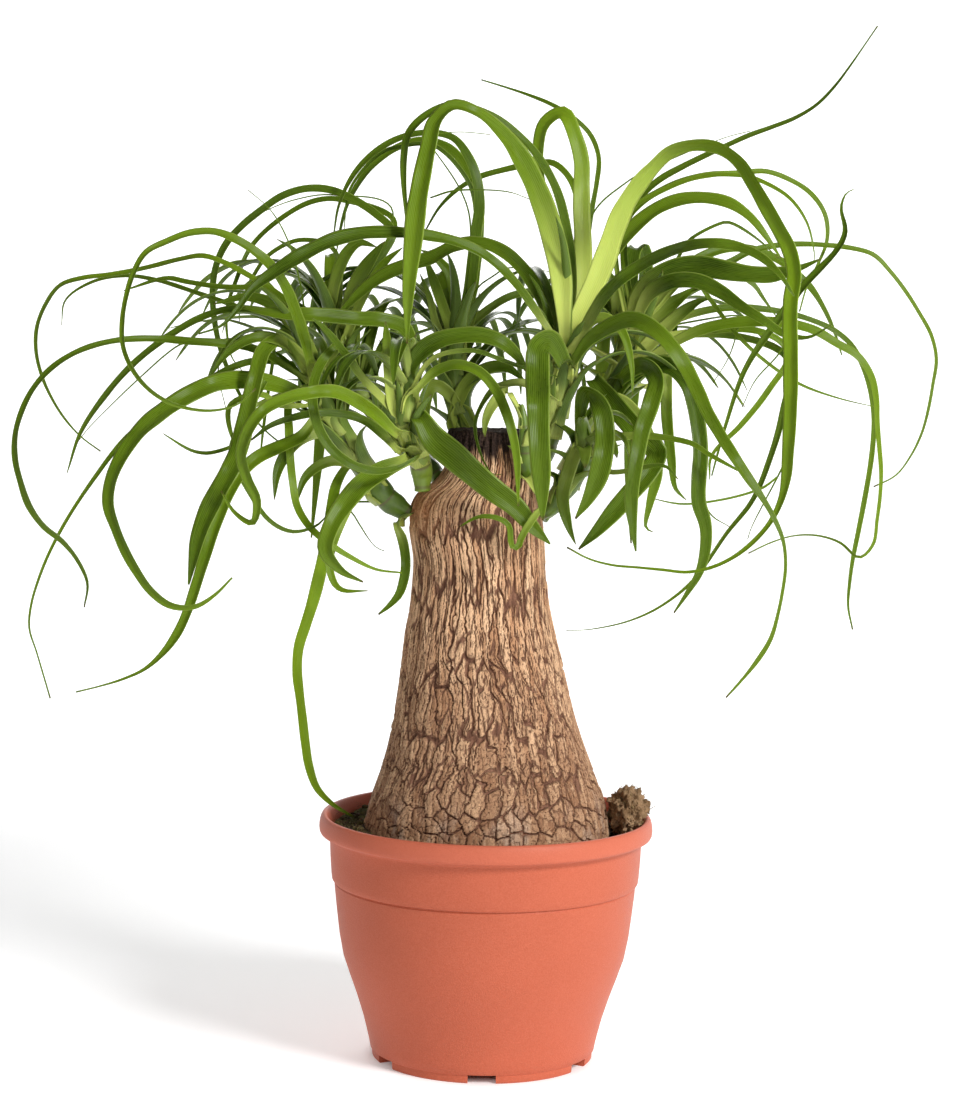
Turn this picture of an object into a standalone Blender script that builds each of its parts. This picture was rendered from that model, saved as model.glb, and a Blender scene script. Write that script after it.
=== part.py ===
"""Potted ponytail palm: a sawn-off, cracked trunk in a plain terracotta pot, with a crown of
side shoots that carry long, arching strap leaves.

Metres, +Z up. The origin is the centre of the pot's foot, and -Y is the front. Leaves and
shoots are drawn in the front elevation, in centimetres, as an eye in front of the plant sees
them, and each has its own depth towards or away from that eye.
"""

import math

import bmesh
import bpy
import numpy as np
from mathutils import Vector, noise

MM = 0.001
CM = 0.01
GAP = 0.0003
EYE = np.array((-0.0055, -1.400, 0.390))
ROUND_SIDES = 48

# Pot: outer profile from the foot up, then over the lip and down the inner wall (r, z in mm).
FOOT_HEIGHT = 4.5
FOOT_OUTER_RADIUS = 56.5
FOOT_INNER_RADIUS = 48.0
FOOT_NOTCHES = 6
FOOT_NOTCH_WIDTH = 14.0
DRAIN_HOLES = 5
DRAIN_RADIUS = 4.0
DRAIN_CIRCLE = 30.0
POT_OUTSIDE = [
    (57.5, 4.5), (58.4, 9.0), (61.5, 21.5), (65.0, 32.5), (72.0, 52.5), (75.5, 75.0), (77.0, 90.4),
    (78.4, 92.4), (79.2, 103.0), (79.7, 114.2), (84.0, 115.2), (85.0, 117.0), (85.0, 119.4),
    (84.4, 123.0), (83.0, 125.0),
]
POT_INSIDE = [
    (80.8, 124.0), (80.2, 119.0), (77.6, 109.0), (75.6, 90.0), (73.4, 75.0), (69.9, 52.5),
    (62.9, 32.5), (59.2, 21.5), (55.0, 9.5), (50.0, 7.0),
]

# Soil: its top and the round pocket that the foot of the trunk sits in (mm).
SOIL_TOP = 114.0
SOIL_BUMP = 2.2
POCKET_RADIUS = 63.6
POCKET_FLOOR = 90.0
CLUMP_CENTRE = (71.8, -3.0, 124.5)
CLUMP_RADII = (7.9, 13.0, 14.5)

# Trunk: left and right edges of its outline at each height, and its half depth (cm).
TRUNK_OUTLINE = [
    (9.03, -4.30, 4.30, 4.30), (9.40, -5.30, 5.30, 5.30), (10.40, -6.12, 6.12, 6.12),
    (11.60, -6.28, 6.28, 6.28), (12.30, -6.10, 6.20, 6.10), (13.20, -5.85, 6.00, 5.80),
    (15.20, -5.20, 5.25, 5.05), (17.25, -4.80, 4.55, 4.55), (19.30, -4.50, 3.95, 4.15),
    (21.35, -4.30, 3.40, 3.80), (23.40, -4.00, 2.95, 3.45), (25.40, -3.90, 2.75, 3.20),
    (27.45, -4.15, 2.60, 3.00), (28.40, -4.05, 2.50, 2.90), (28.90, -3.75, 2.45, 2.80),
    (29.45, -3.00, 2.35, 2.60), (30.10, -2.50, 2.25, 2.35), (31.40, -2.36, 2.00, 2.15),
    (32.05, -2.26, 1.88, 2.05),
]
TRUNK_SAWN_TOP = 32.25
TRUNK_SIDES = 32
BARK_RELIEF = 0.085

# Shoots: (x, z) in the front elevation and depth, in cm, with the radius in mm at each point.
SHOOTS = {
    "shoot_left": [
        (-4.75, 28.1, -0.6, 4.6), (-5.45, 28.7, -0.8, 6.2), (-6.1, 29.7, -1.1, 5.2),
        (-7.1, 31.0, -1.6, 4.4), (-8.0, 32.4, -2.0, 4.0), (-8.7, 34.0, -2.4, 3.4), (-9.1, 35.2, -2.6, 2.4),
    ],
    "shoot_front_left": [
        (-3.55, 29.85, -1.3, 4.0), (-3.65, 30.4, -1.7, 5.6), (-3.9, 31.3, -2.2, 4.8),
        (-4.35, 32.5, -2.7, 4.3), (-4.3, 33.7, -2.8, 3.8), (-4.25, 34.9, -2.6, 2.4),
    ],
    "shoot_back_left": [
        (-3.35, 30.3, 2.6, 4.6), (-4.2, 31.2, 3.4, 6.0), (-5.6, 32.6, 4.4, 5.0),
        (-7.0, 34.4, 5.0, 4.4), (-7.7, 36.0, 5.2, 3.6), (-8.0, 37.3, 5.2, 2.4),
    ],
    "shoot_back_centre": [
        (-1.0, 31.2, 3.1, 4.6), (-1.4, 32.2, 3.5, 5.6), (-1.9, 33.6, 3.9, 5.0),
        (-2.1, 35.2, 4.2, 4.4), (-2.0, 36.4, 4.3, 2.6),
    ],
    "shoot_right_centre": [
        (2.55, 30.9, -0.4, 4.0), (2.85, 31.8, -0.6, 5.2), (3.1, 33.1, -0.9, 4.8),
        (3.35, 34.6, -1.2, 4.4), (3.5, 36.0, -1.4, 2.6),
    ],
    "shoot_right": [
        (3.2, 28.6, 2.0, 4.6), (4.0, 29.9, 2.4, 6.0), (4.9, 31.8, 2.6, 5.0), (5.7, 33.7, 2.6, 4.6),
        (6.5, 35.4, 2.5, 4.0), (7.2, 36.8, 2.4, 2.6),
    ],
    "shoot_low_right": [
        (3.1, 28.3, -1.2, 3.4), (3.7, 29.2, -1.6, 4.6), (4.35, 30.3, -1.9, 3.8), (4.6, 31.3, -2.0, 3.0),
        (4.45, 32.1, -2.0, 1.6),
    ],
    "bud_young": [
        (1.75, 30.3, -2.7, 2.6), (1.7, 31.1, -2.9, 3.4), (1.6, 32.1, -3.0, 2.8), (1.45, 33.4, -3.0, 1.0),
    ],
}
SHOOT_SIDES = 10

# Leaves: width in mm, turn of the blade away from the front in degrees, depth in cm, and the
# route as (x, z) in cm. Widths, turns and depths are spread evenly along the route.
LEAVES = {
    "leaf_left_01": ((5, 5, 4, 4, 5, 4), (30, 50, 50), (-3, -5, -8, -9, -8), [
        (-9.5, 34.5), (-12.1, 36), (-15.2, 36.3), (-17.8, 36.4), (-19.9, 36.1), (-21.7, 35.3),
        (-23, 34.1), (-23.8, 32.6), (-24.15, 30.9), (-23.8, 29), (-23, 27.2), (-21.8, 26.2),
        (-20.85, 25), (-20.4, 23.75), (-20.6, 22.75)]),
    "leaf_left_02": ((8, 9, 9, 7, 5, 4, 3), (25, 40, 30), (-4, -8, -12, -13, -13), [
        (-9.3, 33.6), (-11.3, 34.3), (-13.7, 34.3), (-15.7, 33.4), (-17.6, 31.95), (-18.7, 30.5),
        (-19.4, 28.4), (-18.9, 26.55), (-18.15, 25), (-17, 23.45), (-15.75, 22.8), (-14.5, 23.1),
        (-13.1, 24.4)]),
    "leaf_left_03": ((4, 4, 3, 2, 1.4, 1.2), (30,), (-2, -4, -5, -5), [
        (-9.6, 35.2), (-12.5, 35.3), (-16, 33.2), (-18.3, 31.6), (-20.4, 28.9), (-21.6, 27),
        (-22.55, 25.1), (-23.25, 23), (-23.4, 21.8), (-22.95, 20.25), (-22.3, 18.05)]),
    "leaf_left_04": ((8, 6, 4, 3, 2.4, 1.8), (35, 45, 30), (-4, -8, -12, -13, -10), [
        (-9.3, 35.4), (-9.7, 36.9), (-11, 39.8), (-13, 41.4), (-14.7, 41.85), (-16.5, 41.3),
        (-17.5, 40.8), (-18.3, 39.4), (-18.75, 37), (-18.6, 35.7), (-17.8, 34.3), (-16.5, 33.3),
        (-14.5, 32.85), (-12.9, 33.2), (-12, 34)]),
    "leaf_left_05": ((4, 3, 2), (40,), (-3, -2, 1, 3, 4), [
        (-9.2, 36.2), (-10.3, 38.2), (-11.8, 39.3), (-14.7, 40.6), (-16.6, 40.2), (-18.7, 39.7),
        (-21.5, 39.2), (-22.2, 38.7), (-23.0, 37.0), (-23.1, 36.0), (-22.6, 34.0), (-21.2, 31.8),
        (-19.8, 30.7)]),
    "leaf_left_06": ((7, 7, 7, 6, 5, 2, 1.4), (20, 30), (-3, -6, -8, -9, -9), [
        (-8.9, 32.6), (-9.8, 31.5), (-10.9, 31), (-12.4, 30.1), (-13.5, 28.3), (-14.1, 26.6),
        (-14.75, 24.5), (-15.27, 22.8), (-15.9, 21.4), (-17.2, 19.85), (-18.75, 19.05), (-21, 18.4)]),
    "leaf_left_07": ((6, 7, 9, 9, 7), (20, 30), (-4, -7, -10, -11), [
        (-9.9, 35.6), (-11.2, 36.6), (-12, 34.6), (-12.4, 32.7), (-12.9, 30.5), (-13.7, 29),
        (-14.7, 26.8), (-15.3, 24)]),
    "leaf_left_08": ((7, 6, 3), (10, 25, 10), (-3.4, -8, -11, -10, -9), [
        (-4.9, 31.9), (-5.45, 32.4), (-6.3, 33.1), (-7.95, 33.9), (-8.8, 33.9), (-10.5, 33.5),
        (-11.6, 32.9), (-12.3, 32.0), (-12.7, 30.3), (-12.3, 29.3), (-11.75, 27.7), (-12.4, 27.1),
        (-13.7, 28.8)]),
    "leaf_left_09": ((5, 4, 3), (15,), (-3.2, -5, -6, -7), [
        (-4.75, 31.0), (-6.4, 32.45), (-8.35, 32.85), (-10.0, 32.6), (-11.6, 31.95), (-12.2, 31.4)]),
    "leaf_left_10": ((5, 4, 2), (20,), (-2, -4, -5, -4), [
        (-9.4, 34.2), (-10.3, 33.3), (-10.3, 31.8), (-10.1, 29.4), (-9.65, 27.6), (-8.7, 26.6),
        (-7.7, 25.9), (-5.8, 24.95), (-4.5, 24.8)]),
    "leaf_left_11": ((5, 5, 3), (10,), (-4, -7, -7, -5), [
        (-7.9, 36.3), (-8.7, 35.4), (-9.15, 33.7), (-8.65, 31.75), (-7.4, 30.4), (-5.65, 29.95),
        (-4.2, 30.4), (-3.7, 30.8)]),
    "leaf_left_12": ((9, 10, 8, 3), (0, 10, 20), (-2.8, -5, -6, -6), [
        (-4.45, 30.5), (-5.9, 29.8), (-6.6, 29.25), (-7.9, 27.5), (-8.4, 26.05), (-8.0, 25.3),
        (-7.35, 24.7), (-6.45, 24.3)]),
    "leaf_left_13": ((6, 6, 7, 6, 5, 5, 4), (10, 30, 10), (-1, -3, -3, -1, 1), [
        (-7.2, 30.3), (-7.9, 29.2), (-8.2, 27.2), (-8.9, 23.7), (-9.55, 21.45), (-9.8, 20.4),
        (-9.7, 19.1), (-9.5, 17.55), (-9.3, 16), (-9.05, 14.65), (-8.5, 13.4), (-8, 12.95),
        (-7.3, 12.5), (-6.75, 12.2)]),
    "leaf_left_14": ((5, 5, 3), (10,), (-2, -3, -3.4), [
        (-4.8, 27.3), (-4.5, 26.55), (-4.3, 25.5), (-4.35, 24.6), (-4.7, 23.55), (-5.65, 22.65)]),
    "leaf_left_15": ((5, 4, 2), (20,), (4, 6, 5, 2), [
        (-7.6, 37.6), (-6.2, 40.2), (-5.2, 41.9), (-6.6, 43.2), (-8.0, 43.9), (-9.0, 44.1),
        (-10.5, 43.8), (-12.0, 42.8), (-13.2, 41.7), (-13.9, 40.6), (-14.2, 39.1), (-14.1, 37.4),
        (-13.7, 35.7), (-12.9, 33.9), (-12.0, 32.4), (-10.5, 31.1)]),
    "leaf_left_16": ((8, 8, 5), (30, 20), (-2, -3, -4, -4), [
        (-4.1, 36.1), (-4.7, 37.3), (-7.0, 37.6), (-9.0, 37.75), (-11.0, 37.8), (-12.8, 38.1)]),
    "leaf_front_01": ((12, 14, 12, 10, 8), (0, 0, 15), (-3.6, -4.2, -4.4, -4.6), [
        (-3.7, 32.7), (-3.25, 31.9), (-2.1, 30.9), (-1.05, 30), (0, 29.15), (1.05, 28.4),
        (2.5, 26.8), (3, 26.4)]),
    "leaf_front_02": ((11, 12, 10, 8), (20, 0, 0), (-2.2, -5, -8, -8.6, -8.8), [
        (3.5, 35.6), (3.0, 36.5), (2.4, 36.9), (2.2, 35.8), (2.25, 33.7), (2.35, 31.65), (2.5, 29.6),
        (2.6, 27.6)]),
    "leaf_front_03": ((9, 9, 6), (10, 30, 20), (-3.4, -4, -4, -3.4), [
        (-4.2, 35.2), (-3.7, 36.0), (-2.5, 36.7), (-1.4, 36.85), (-0.3, 36.8), (0.6, 36.4), (1.3, 35.7),
        (1.7, 35.0)]),
    "leaf_front_04": ((5, 5, 3), (0, 15), (-3.4, -5, -6, -6), [
        (-3.85, 34.1), (-2.8, 35.15), (-1.95, 35.4), (-0.5, 34.9), (0.5, 33.35), (1.15, 31.2),
        (1.35, 28.3)]),
    "leaf_front_05": ((8, 10, 10, 6), (0, 10), (-3, -5, -6, -6), [
        (4.4, 32.9), (4.75, 34.2), (5.5, 33.15), (5.6, 31.1), (5.15, 29.3), (4.25, 27.7)]),
    "leaf_centre_01": ((6, 6, 5, 5, 4), (20, 40, 50, 20), (-1, -1, -1.5, -2.5, -3.5, -4, -4), [
        (3.6, 36.9), (3.8, 39.5), (3.55, 41.95), (2.9, 44.3), (1.9, 45.95), (0.85, 47),
        (-0.3, 47.8), (-1.45, 48.2), (-2.5, 48.3), (-3.6, 47.8), (-4.5, 46.8), (-4.7, 45.1),
        (-4.6, 43.6), (-4.45, 42)]),
    "leaf_centre_02": ((8, 11, 12, 11, 8, 8, 9, 10, 9, 6), (10, 10, 25, 55, 20, 5, 0),
                       (-1.8, -2.2, -3, -4, -5.5, -6.5, -7, -7, -6.5), [
        (3.5, 36.9), (3.3, 39.5), (2.8, 41.9), (1.95, 44.2), (0.9, 46.1), (-0.3, 47.4),
        (-1.45, 48.15), (-2.1, 48.3), (-2.7, 48.1), (-3.2, 47.4), (-3.5, 46), (-3.8, 44.5),
        (-4.05, 42.8), (-4.2, 41.1), (-4.35, 39.4), (-4.4, 37.95), (-4.4, 36.4)]),
    "leaf_centre_03": ((7, 7, 6, 4, 4, 3), (20, 40), (4.5, 4, 5, 5), [
        (-1.75, 37), (-1.3, 39.3), (-1.05, 41.9), (-0.9, 43.85), (-1.4, 45.6), (-2.35, 46.75),
        (-3.9, 46.9), (-5.45, 46.4), (-6.9, 45.2), (-7.85, 43.5), (-8.15, 41.9)]),
    "leaf_centre_04": ((8, 7, 6, 3), (10, 30), (-1, 0, 1, 2, 2), [
        (3.8, 36.8), (4.1, 38.6), (4.35, 40.6), (4.2, 43.7), (4.15, 45.8), (3.55, 47.5), (3.1, 48.1),
        (2.5, 47.85), (2.05, 46.4), (2.05, 45.5), (2.65, 43.5), (3.1, 42.6)]),
    "leaf_centre_05": ((4, 3, 3, 2), (30,), (3, 5, 8, 10), [
        (3.9, 36.0), (4.4, 40.0), (4.7, 42.9), (5.0, 45.0), (4.95, 46.4), (4.2, 47.4), (3.2, 48.15),
        (2.0, 48.7), (0.0, 49.35), (-0.9, 49.6)]),
    "leaf_centre_06": ((5, 4, 3), (30,), (2, 6, 8, 8), [
        (3.6, 37.2), (4.0, 41.0), (3.9, 44.2), (2.85, 45.5), (1.0, 45.3), (-1.3, 44.6), (-2.75, 43.4),
        (-3.55, 42.1)]),
    "leaf_centre_07": ((5, 5, 6, 8, 10, 9, 5, 2), (30, 50, 30), (-2.2, -4, -6, -8, -10), [
        (3.1, 36.6), (2, 38.2), (1, 39.5), (0.1, 40.4), (-1.35, 41.3), (-3.2, 41.75), (-5.35, 41.9),
        (-7.4, 41.7), (-9.2, 41), (-11, 39.9), (-12.3, 38.9), (-13.5, 37.3), (-14.9, 36.7)]),
    "leaf_centre_08": ((7, 8, 8, 9, 8, 4), (20, 40, 30), (0, 1, 2, 2), [
        (3.2, 36.7), (2.25, 38.9), (1.05, 40.5), (-0.35, 41.4), (-1.9, 41.35), (-3.3, 40.65),
        (-5, 40.1), (-6.2, 39.4), (-7.3, 38.4), (-8.4, 37.1)]),
    "leaf_right_01": ((13, 12, 11, 8, 7, 7, 7, 7, 6, 2.5, 2, 2, 3), (20, 45, 20, 30, 30),
                      (-1.4, -3, -6, -7.5, -6.5, -5), [
        (3.8, 36.2), (4.05, 37.3), (5.2, 40.2), (6.35, 43.5), (7.7, 45.4), (8.9, 46.4),
        (10.35, 46.6), (11.7, 46.15), (12.75, 44.8), (13.75, 43.15), (14.7, 41.5), (15, 40.4),
        (14.85, 38.6), (14.95, 36), (15, 33.7), (14.95, 31.4), (14.8, 29.4), (14.25, 27.9),
        (13.1, 26.5), (11.8, 25.6), (10.2, 25.1), (8.1, 25.25), (6.05, 25.4), (4.4, 25.9),
        (3.85, 26.25)]),
    "leaf_right_02": ((6, 5, 4, 3, 2, 1.5), (30,), (2, 4, 4, 2), [
        (4, 37.4), (4.5, 38.5), (6.7, 43.3), (8.05, 44.75), (9.7, 45.7), (11.1, 46.4),
        (12.7, 47.15), (14.75, 47.95), (16.1, 48.85), (17.2, 50.2), (18.8, 52.6)]),
    "leaf_right_03": ((5, 4, 3, 2), (30,), (3, 5, 6, 5), [
        (7.1, 37.6), (6.5, 40.5), (6.6, 42.9), (8.2, 44.25), (10.1, 45.0), (12.2, 45.2), (13.45, 45.3),
        (14.75, 44.85), (15.9, 44.05), (16.6, 42.7), (16.4, 41.3), (15.75, 39.95), (15.3, 38.35)]),
    "leaf_right_04": ((9, 9, 8, 6), (30, 45), (1, 1, 0), [
        (3.9, 37), (4.95, 39.6), (6.8, 42.3), (8.55, 43.6), (10.4, 43.9), (12.1, 43.45),
        (13.3, 42.3), (14.3, 41)]),
    "leaf_right_05": ((7, 7, 6, 5), (30, 40), (-2, -6, -10, -12), [
        (4.1, 36.5), (5.8, 39.35), (7.9, 40.85), (9.75, 41.55), (11.4, 41.65), (13, 41.2),
        (14.15, 40.3), (15, 39.15)]),
    "leaf_right_06": ((9, 10, 11, 9, 4), (10, 30), (3, 1, -1, -2), [
        (6.9, 37.5), (7.35, 39.3), (9.15, 40.45), (10.2, 40.55), (12.25, 40.2), (14.3, 40.2),
        (16.3, 41)]),
    "leaf_right_07": ((8, 8, 5, 2), (10, 30), (1, -2, -4, -5), [
        (7.2, 38), (7.8, 39.2), (9.3, 39.85), (10.7, 39.6), (12.2, 38.65), (13.55, 37.85),
        (14.6, 37.2), (15.4, 36.95), (16.9, 37.7)]),
    "leaf_right_08": ((6, 6, 6, 5, 4, 3, 2.4, 2, 1.6, 1.2), (20, 40), (1.4, 0, 0, 1, 2), [
        (6.9, 35.5), (8, 36), (9.65, 37.05), (11.75, 37.7), (13.8, 37.8), (15.75, 37.55),
        (17.2, 36.8), (18.6, 35.9), (19.2, 34.5), (19.4, 32.5), (19.65, 30.2), (19.5, 27.8),
        (19.1, 26), (18.4, 26.1), (17.4, 26.9), (15.1, 27), (13.05, 26.1)]),
    "leaf_right_09": ((5, 4, 3, 3, 3, 3, 3), (20,), (3, 4, 5, 5), [
        (7.6, 37.2), (11, 38.4), (15, 38.2), (17.8, 36.9), (19.05, 34.2), (19.2, 32), (18.95, 29.6),
        (18.6, 27.4), (18.3, 25.5), (18.2, 23.3), (18.45, 22.3)]),
    "leaf_right_10": ((5, 4, 3, 2.4, 2, 1.6), (30,), (3, 5, 5, 3), [
        (7.6, 38), (9.5, 40), (11.6, 40.7), (13, 41.4), (14.85, 41.7), (16.95, 41.65),
        (18.85, 41.3), (20, 40.2), (21.25, 38.5), (22.2, 36.6), (22.1, 34.7), (21.55, 32.1),
        (20.4, 30.2), (19.3, 29.6)]),
    "leaf_right_11": ((7, 9, 8, 8, 7, 6, 3, 1.8, 2, 4, 3), (20, 35, 30), (-2.2, -7, -12, -13, -12.5), [
        (4, 35.7), (4.7, 36.7), (5.8, 37.45), (6.9, 37.8), (8.2, 37.2), (9.5, 35.65), (10.95, 32.9),
        (12.6, 30.4), (14.05, 28.35), (14.8, 26.75), (14.95, 25.15), (14.75, 23.75), (14.35, 21.9),
        (13.45, 20.35), (12.1, 18.7)]),
    "leaf_right_12": ((9, 9, 8, 8, 6, 4), (10, 20), (1.6, -1, -2, -2), [
        (6.1, 33.9), (7, 35.2), (8.55, 35.6), (9.6, 34.95), (10.25, 33), (10.5, 30.9),
        (10.4, 28.95), (10.85, 27.3), (10.65, 25.3), (9.35, 23)]),
    "leaf_right_13": ((9, 9, 8, 7, 5), (0, 15), (1, -3, -4.5, -5), [
        (6.4, 34.8), (7.3, 35.5), (8.1, 35.4), (8, 33.8), (7.65, 32.75), (7.25, 30.65),
        (7.05, 28.6), (7.35, 26.1)]),
    "leaf_right_14": ((10, 11, 11, 10, 9, 7), (0, 10), (2.4, 0, -1.5, -2), [
        (4.95, 34.85), (6.35, 33.2), (7.5, 31.95), (8.35, 30.95), (7.8, 30), (6.7, 28.7),
        (5.55, 27.3), (4.45, 26.15)]),
    "leaf_back_01": ((7, 6, 4), (20, 50), (5, 9, 12, 13), [
        (-1.6, 37.0), (-1.1, 40.0), (-1.0, 43.5), (-2.2, 46.0), (-4.0, 46.5), (-6.0, 45.5),
        (-7.5, 43.3), (-8.0, 41.0)]),
    "leaf_back_02": ((8, 8, 4), (10, 10), (4.6, 8, 12, 13, 13), [
        (-2.2, 36.8), (-2.4, 38.8), (-2.6, 40.2), (-2.7, 40.4), (-2.6, 39.2), (-2.2, 36.0),
        (-1.8, 31.0), (-1.5, 26.0), (-1.3, 22.5)]),
    "leaf_back_03": ((8, 8, 4), (10, 10), (4.8, 8, 12, 13, 13), [
        (6.9, 37.6), (6.8, 39.5), (6.9, 41.2), (7.2, 41.8), (7.5, 40.8), (7.4, 38.0), (7.0, 34.0),
        (6.9, 30.0), (7.1, 26.5)]),
    "leaf_back_04": ((8, 8, 4), (10, 10), (5.6, 8, 12, 13, 13), [
        (-8.1, 37.9), (-8.3, 39.6), (-8.2, 40.8), (-8.1, 41.2), (-8.2, 40.0), (-8.3, 37.0),
        (-8.6, 33.0), (-8.9, 29.0), (-9.1, 26.5)]),
    "leaf_back_05": ((7, 6, 4), (20, 50), (3, 8, 12, 13), [
        (7.4, 37.4), (9.0, 39.9), (11.3, 41.4), (13.5, 41.2), (15.5, 39.9), (16.8, 38.0),
        (17.5, 36.2)]),
}
STATION_SPACING = 0.0125
FEWEST_STATIONS = 8
LEAF_KEEL = 0.0011
NARROWEST = 0.0009
LEAF_CLEARANCE = 0.0014
SETTLING_ROUNDS = 500


def place(x_cm, z_cm, depth):
    """Puts a point of the front elevation at its depth, along the line from the eye."""
    drawn = np.stack([x_cm * CM, np.zeros_like(x_cm), z_cm * CM], -1)
    reach = 1.0 + depth / -EYE[1]
    return EYE + (drawn - EYE) * reach[..., None]


def smooth_route(points, spacing, fewest):
    """Reads evenly spaced points from a centripetal Catmull-Rom curve through the given ones."""
    given = np.array(points, float)
    padded = np.vstack([2 * given[0] - given[1], given, 2 * given[-1] - given[-2]])
    fine = []
    for i in range(len(given) - 1):
        p = padded[i:i + 4]
        knots = np.concatenate([[0.0], np.cumsum(np.sqrt(np.linalg.norm(np.diff(p[:, :2], axis=0), axis=1)))])
        t = np.linspace(knots[1], knots[2], 12, endpoint=False)[:, None]
        a = [((knots[k + 1] - t) * p[k] + (t - knots[k]) * p[k + 1]) / (knots[k + 1] - knots[k])
             for k in range(3)]
        b = [((knots[k + 2] - t) * a[k] + (t - knots[k]) * a[k + 1]) / (knots[k + 2] - knots[k])
             for k in range(2)]
        fine.append(((knots[2] - t) * b[0] + (t - knots[1]) * b[1]) / (knots[2] - knots[1]))
    fine = np.vstack(fine + [given[-1:]])
    along = np.concatenate([[0.0], np.cumsum(np.linalg.norm(np.diff(fine[:, :2], axis=0), axis=1))])
    count = max(fewest, int(round(along[-1] * CM / spacing)) + 1)
    wanted = np.linspace(0.0, along[-1], count)
    return np.stack([np.interp(wanted, along, fine[:, k]) for k in range(fine.shape[1])], -1)


def spread(values, count):
    """Spreads a few values evenly over a number of stations, easing from one to the next."""
    values = np.array(values, float)
    if len(values) == 1:
        return np.full(count, values[0])
    where = np.linspace(0.0, len(values) - 1.0, count)
    first = np.minimum(where.astype(int), len(values) - 2)
    part = where - first
    ease = part * part * (3.0 - 2.0 * part)
    return values[first] * (1.0 - ease) + values[first + 1] * ease


def trunk_at(z_cm):
    """Centre and half width of the trunk, and its half depth, at a height in centimetres."""
    outline = np.array(TRUNK_OUTLINE)
    left, right, half_depth = (np.interp(z_cm, outline[:, 0], outline[:, k]) for k in (1, 2, 3))
    return (left + right) / 2, (right - left) / 2, half_depth


class Strand:
    """A shoot or a leaf on its way across the front elevation."""

    def __init__(self, name, route, depth, across, towards, fixed):
        self.name = name
        self.route = route
        self.depth = depth
        self.across = across
        self.towards = towards
        self.fixed = fixed


def shoot_strand(name, points):
    route = smooth_route(points, 0.005, 5)
    radius = route[:, 3] * MM
    return Strand(name, route[:, :2], route[:, 2] * CM, radius, radius, True)


def leaf_strand(name, width, turn, depth, points):
    route = smooth_route(points, STATION_SPACING, FEWEST_STATIONS)
    count = len(route)
    half = leaf_width(width, count) / 2
    angle = np.radians(spread(turn, count))
    towards = half * np.sin(angle) + LEAF_KEEL * np.cos(angle)
    across = half * np.cos(angle) + LEAF_KEEL * np.sin(angle)
    return Strand(name, route, spread(depth, count) * CM, across, towards, False)


def leaf_width(width, count):
    """Full width at each station: the given widths, drawn in at the base and to a point at the tip."""
    along = np.linspace(0.0, 1.0, count)
    base = 0.72 + 0.28 * np.minimum(along / 0.12, 1.0)
    tip = np.sqrt(np.clip((1.0 - along) / 0.22, 0.0, 1.0))
    return np.maximum(spread(width, count) * MM * base * tip, NARROWEST)


def crossings(strands):
    """Lists the pairs of stations that lie over one another, with the order that they keep."""
    pairs = []
    for a, one in enumerate(strands):
        for b in range(a, len(strands)):
            two = strands[b]
            if one.fixed and two.fixed:
                continue
            far = np.linalg.norm(one.route[:, None] - two.route[None], axis=-1) * CM
            near = far < one.across[:, None] + two.across[None] + 0.55 * STATION_SPACING
            if a == b:
                rows = np.arange(len(one.route))
                near &= rows[None] - rows[:, None] > 5
            i, j = np.nonzero(near)
            if len(i):
                pairs += ordered_pairs(strands, a, b, i, j)
    return pairs


def ordered_pairs(strands, a, b, i, j):
    """Splits the pairs of two strands into separate crossings, each with one order."""
    steps = np.abs(np.diff(i)) + np.abs(np.diff(j))
    starts = np.concatenate([[0], np.nonzero(np.diff(i) > 2)[0] + 1, [len(i)]])
    found = []
    for start, end in zip(starts[:-1], starts[1:]):
        rows, columns = i[start:end], j[start:end]
        lead = (strands[a].depth[rows] - strands[b].depth[columns]).mean()
        order = 1.0 if lead >= 0 else -1.0
        found += [(a, b, r, c, order) for r, c in zip(rows, columns)]
    return found


def settle(strands):
    """Moves crossing leaves apart along the line of sight until they lie clear of each other."""
    starts = np.concatenate([[0], np.cumsum([len(s.route) for s in strands])])
    depth = np.concatenate([s.depth for s in strands])
    towards = np.concatenate([s.towards for s in strands])
    free = np.concatenate([np.full(len(s.route), not s.fixed) for s in strands])
    pairs = crossings(strands)
    one = np.array([starts[a] + r for a, b, r, c, o in pairs])
    two = np.array([starts[b] + c for a, b, r, c, o in pairs])
    order = np.array([o for a, b, r, c, o in pairs])
    need = towards[one] + towards[two] + LEAF_CLEARANCE
    drawn = depth.copy()
    share = np.where(free[one] & free[two], 0.5, 1.0)
    for step in range(SETTLING_ROUNDS):
        lack = np.maximum(need - order * (depth[one] - depth[two]), 0.0) * order * share
        push = np.zeros_like(depth)
        hits = np.full_like(depth, 1e-9)
        np.add.at(push, one, lack)
        np.add.at(push, two, -lack)
        np.add.at(hits, one, lack != 0)
        np.add.at(hits, two, lack != 0)
        depth = depth + np.where(free, push / np.sqrt(np.maximum(hits, 1.0)) * 0.6, 0.0)
        for s, start, end in zip(strands, starts[:-1], starts[1:]):
            if not s.fixed:
                moved = depth[start:end] - drawn[start:end]
                calm = np.convolve(np.pad(moved, 1, "edge"), (0.25, 0.5, 0.25), "valid")
                hold = 0.35 if step < SETTLING_ROUNDS * 0.8 else 0.08
                depth[start:end] = drawn[start:end] + moved + hold * (calm - moved)
                depth[start:end] = clear_of_trunk(s, depth[start:end])
    for s, start, end in zip(strands, starts[:-1], starts[1:]):
        s.depth = depth[start:end]


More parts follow.
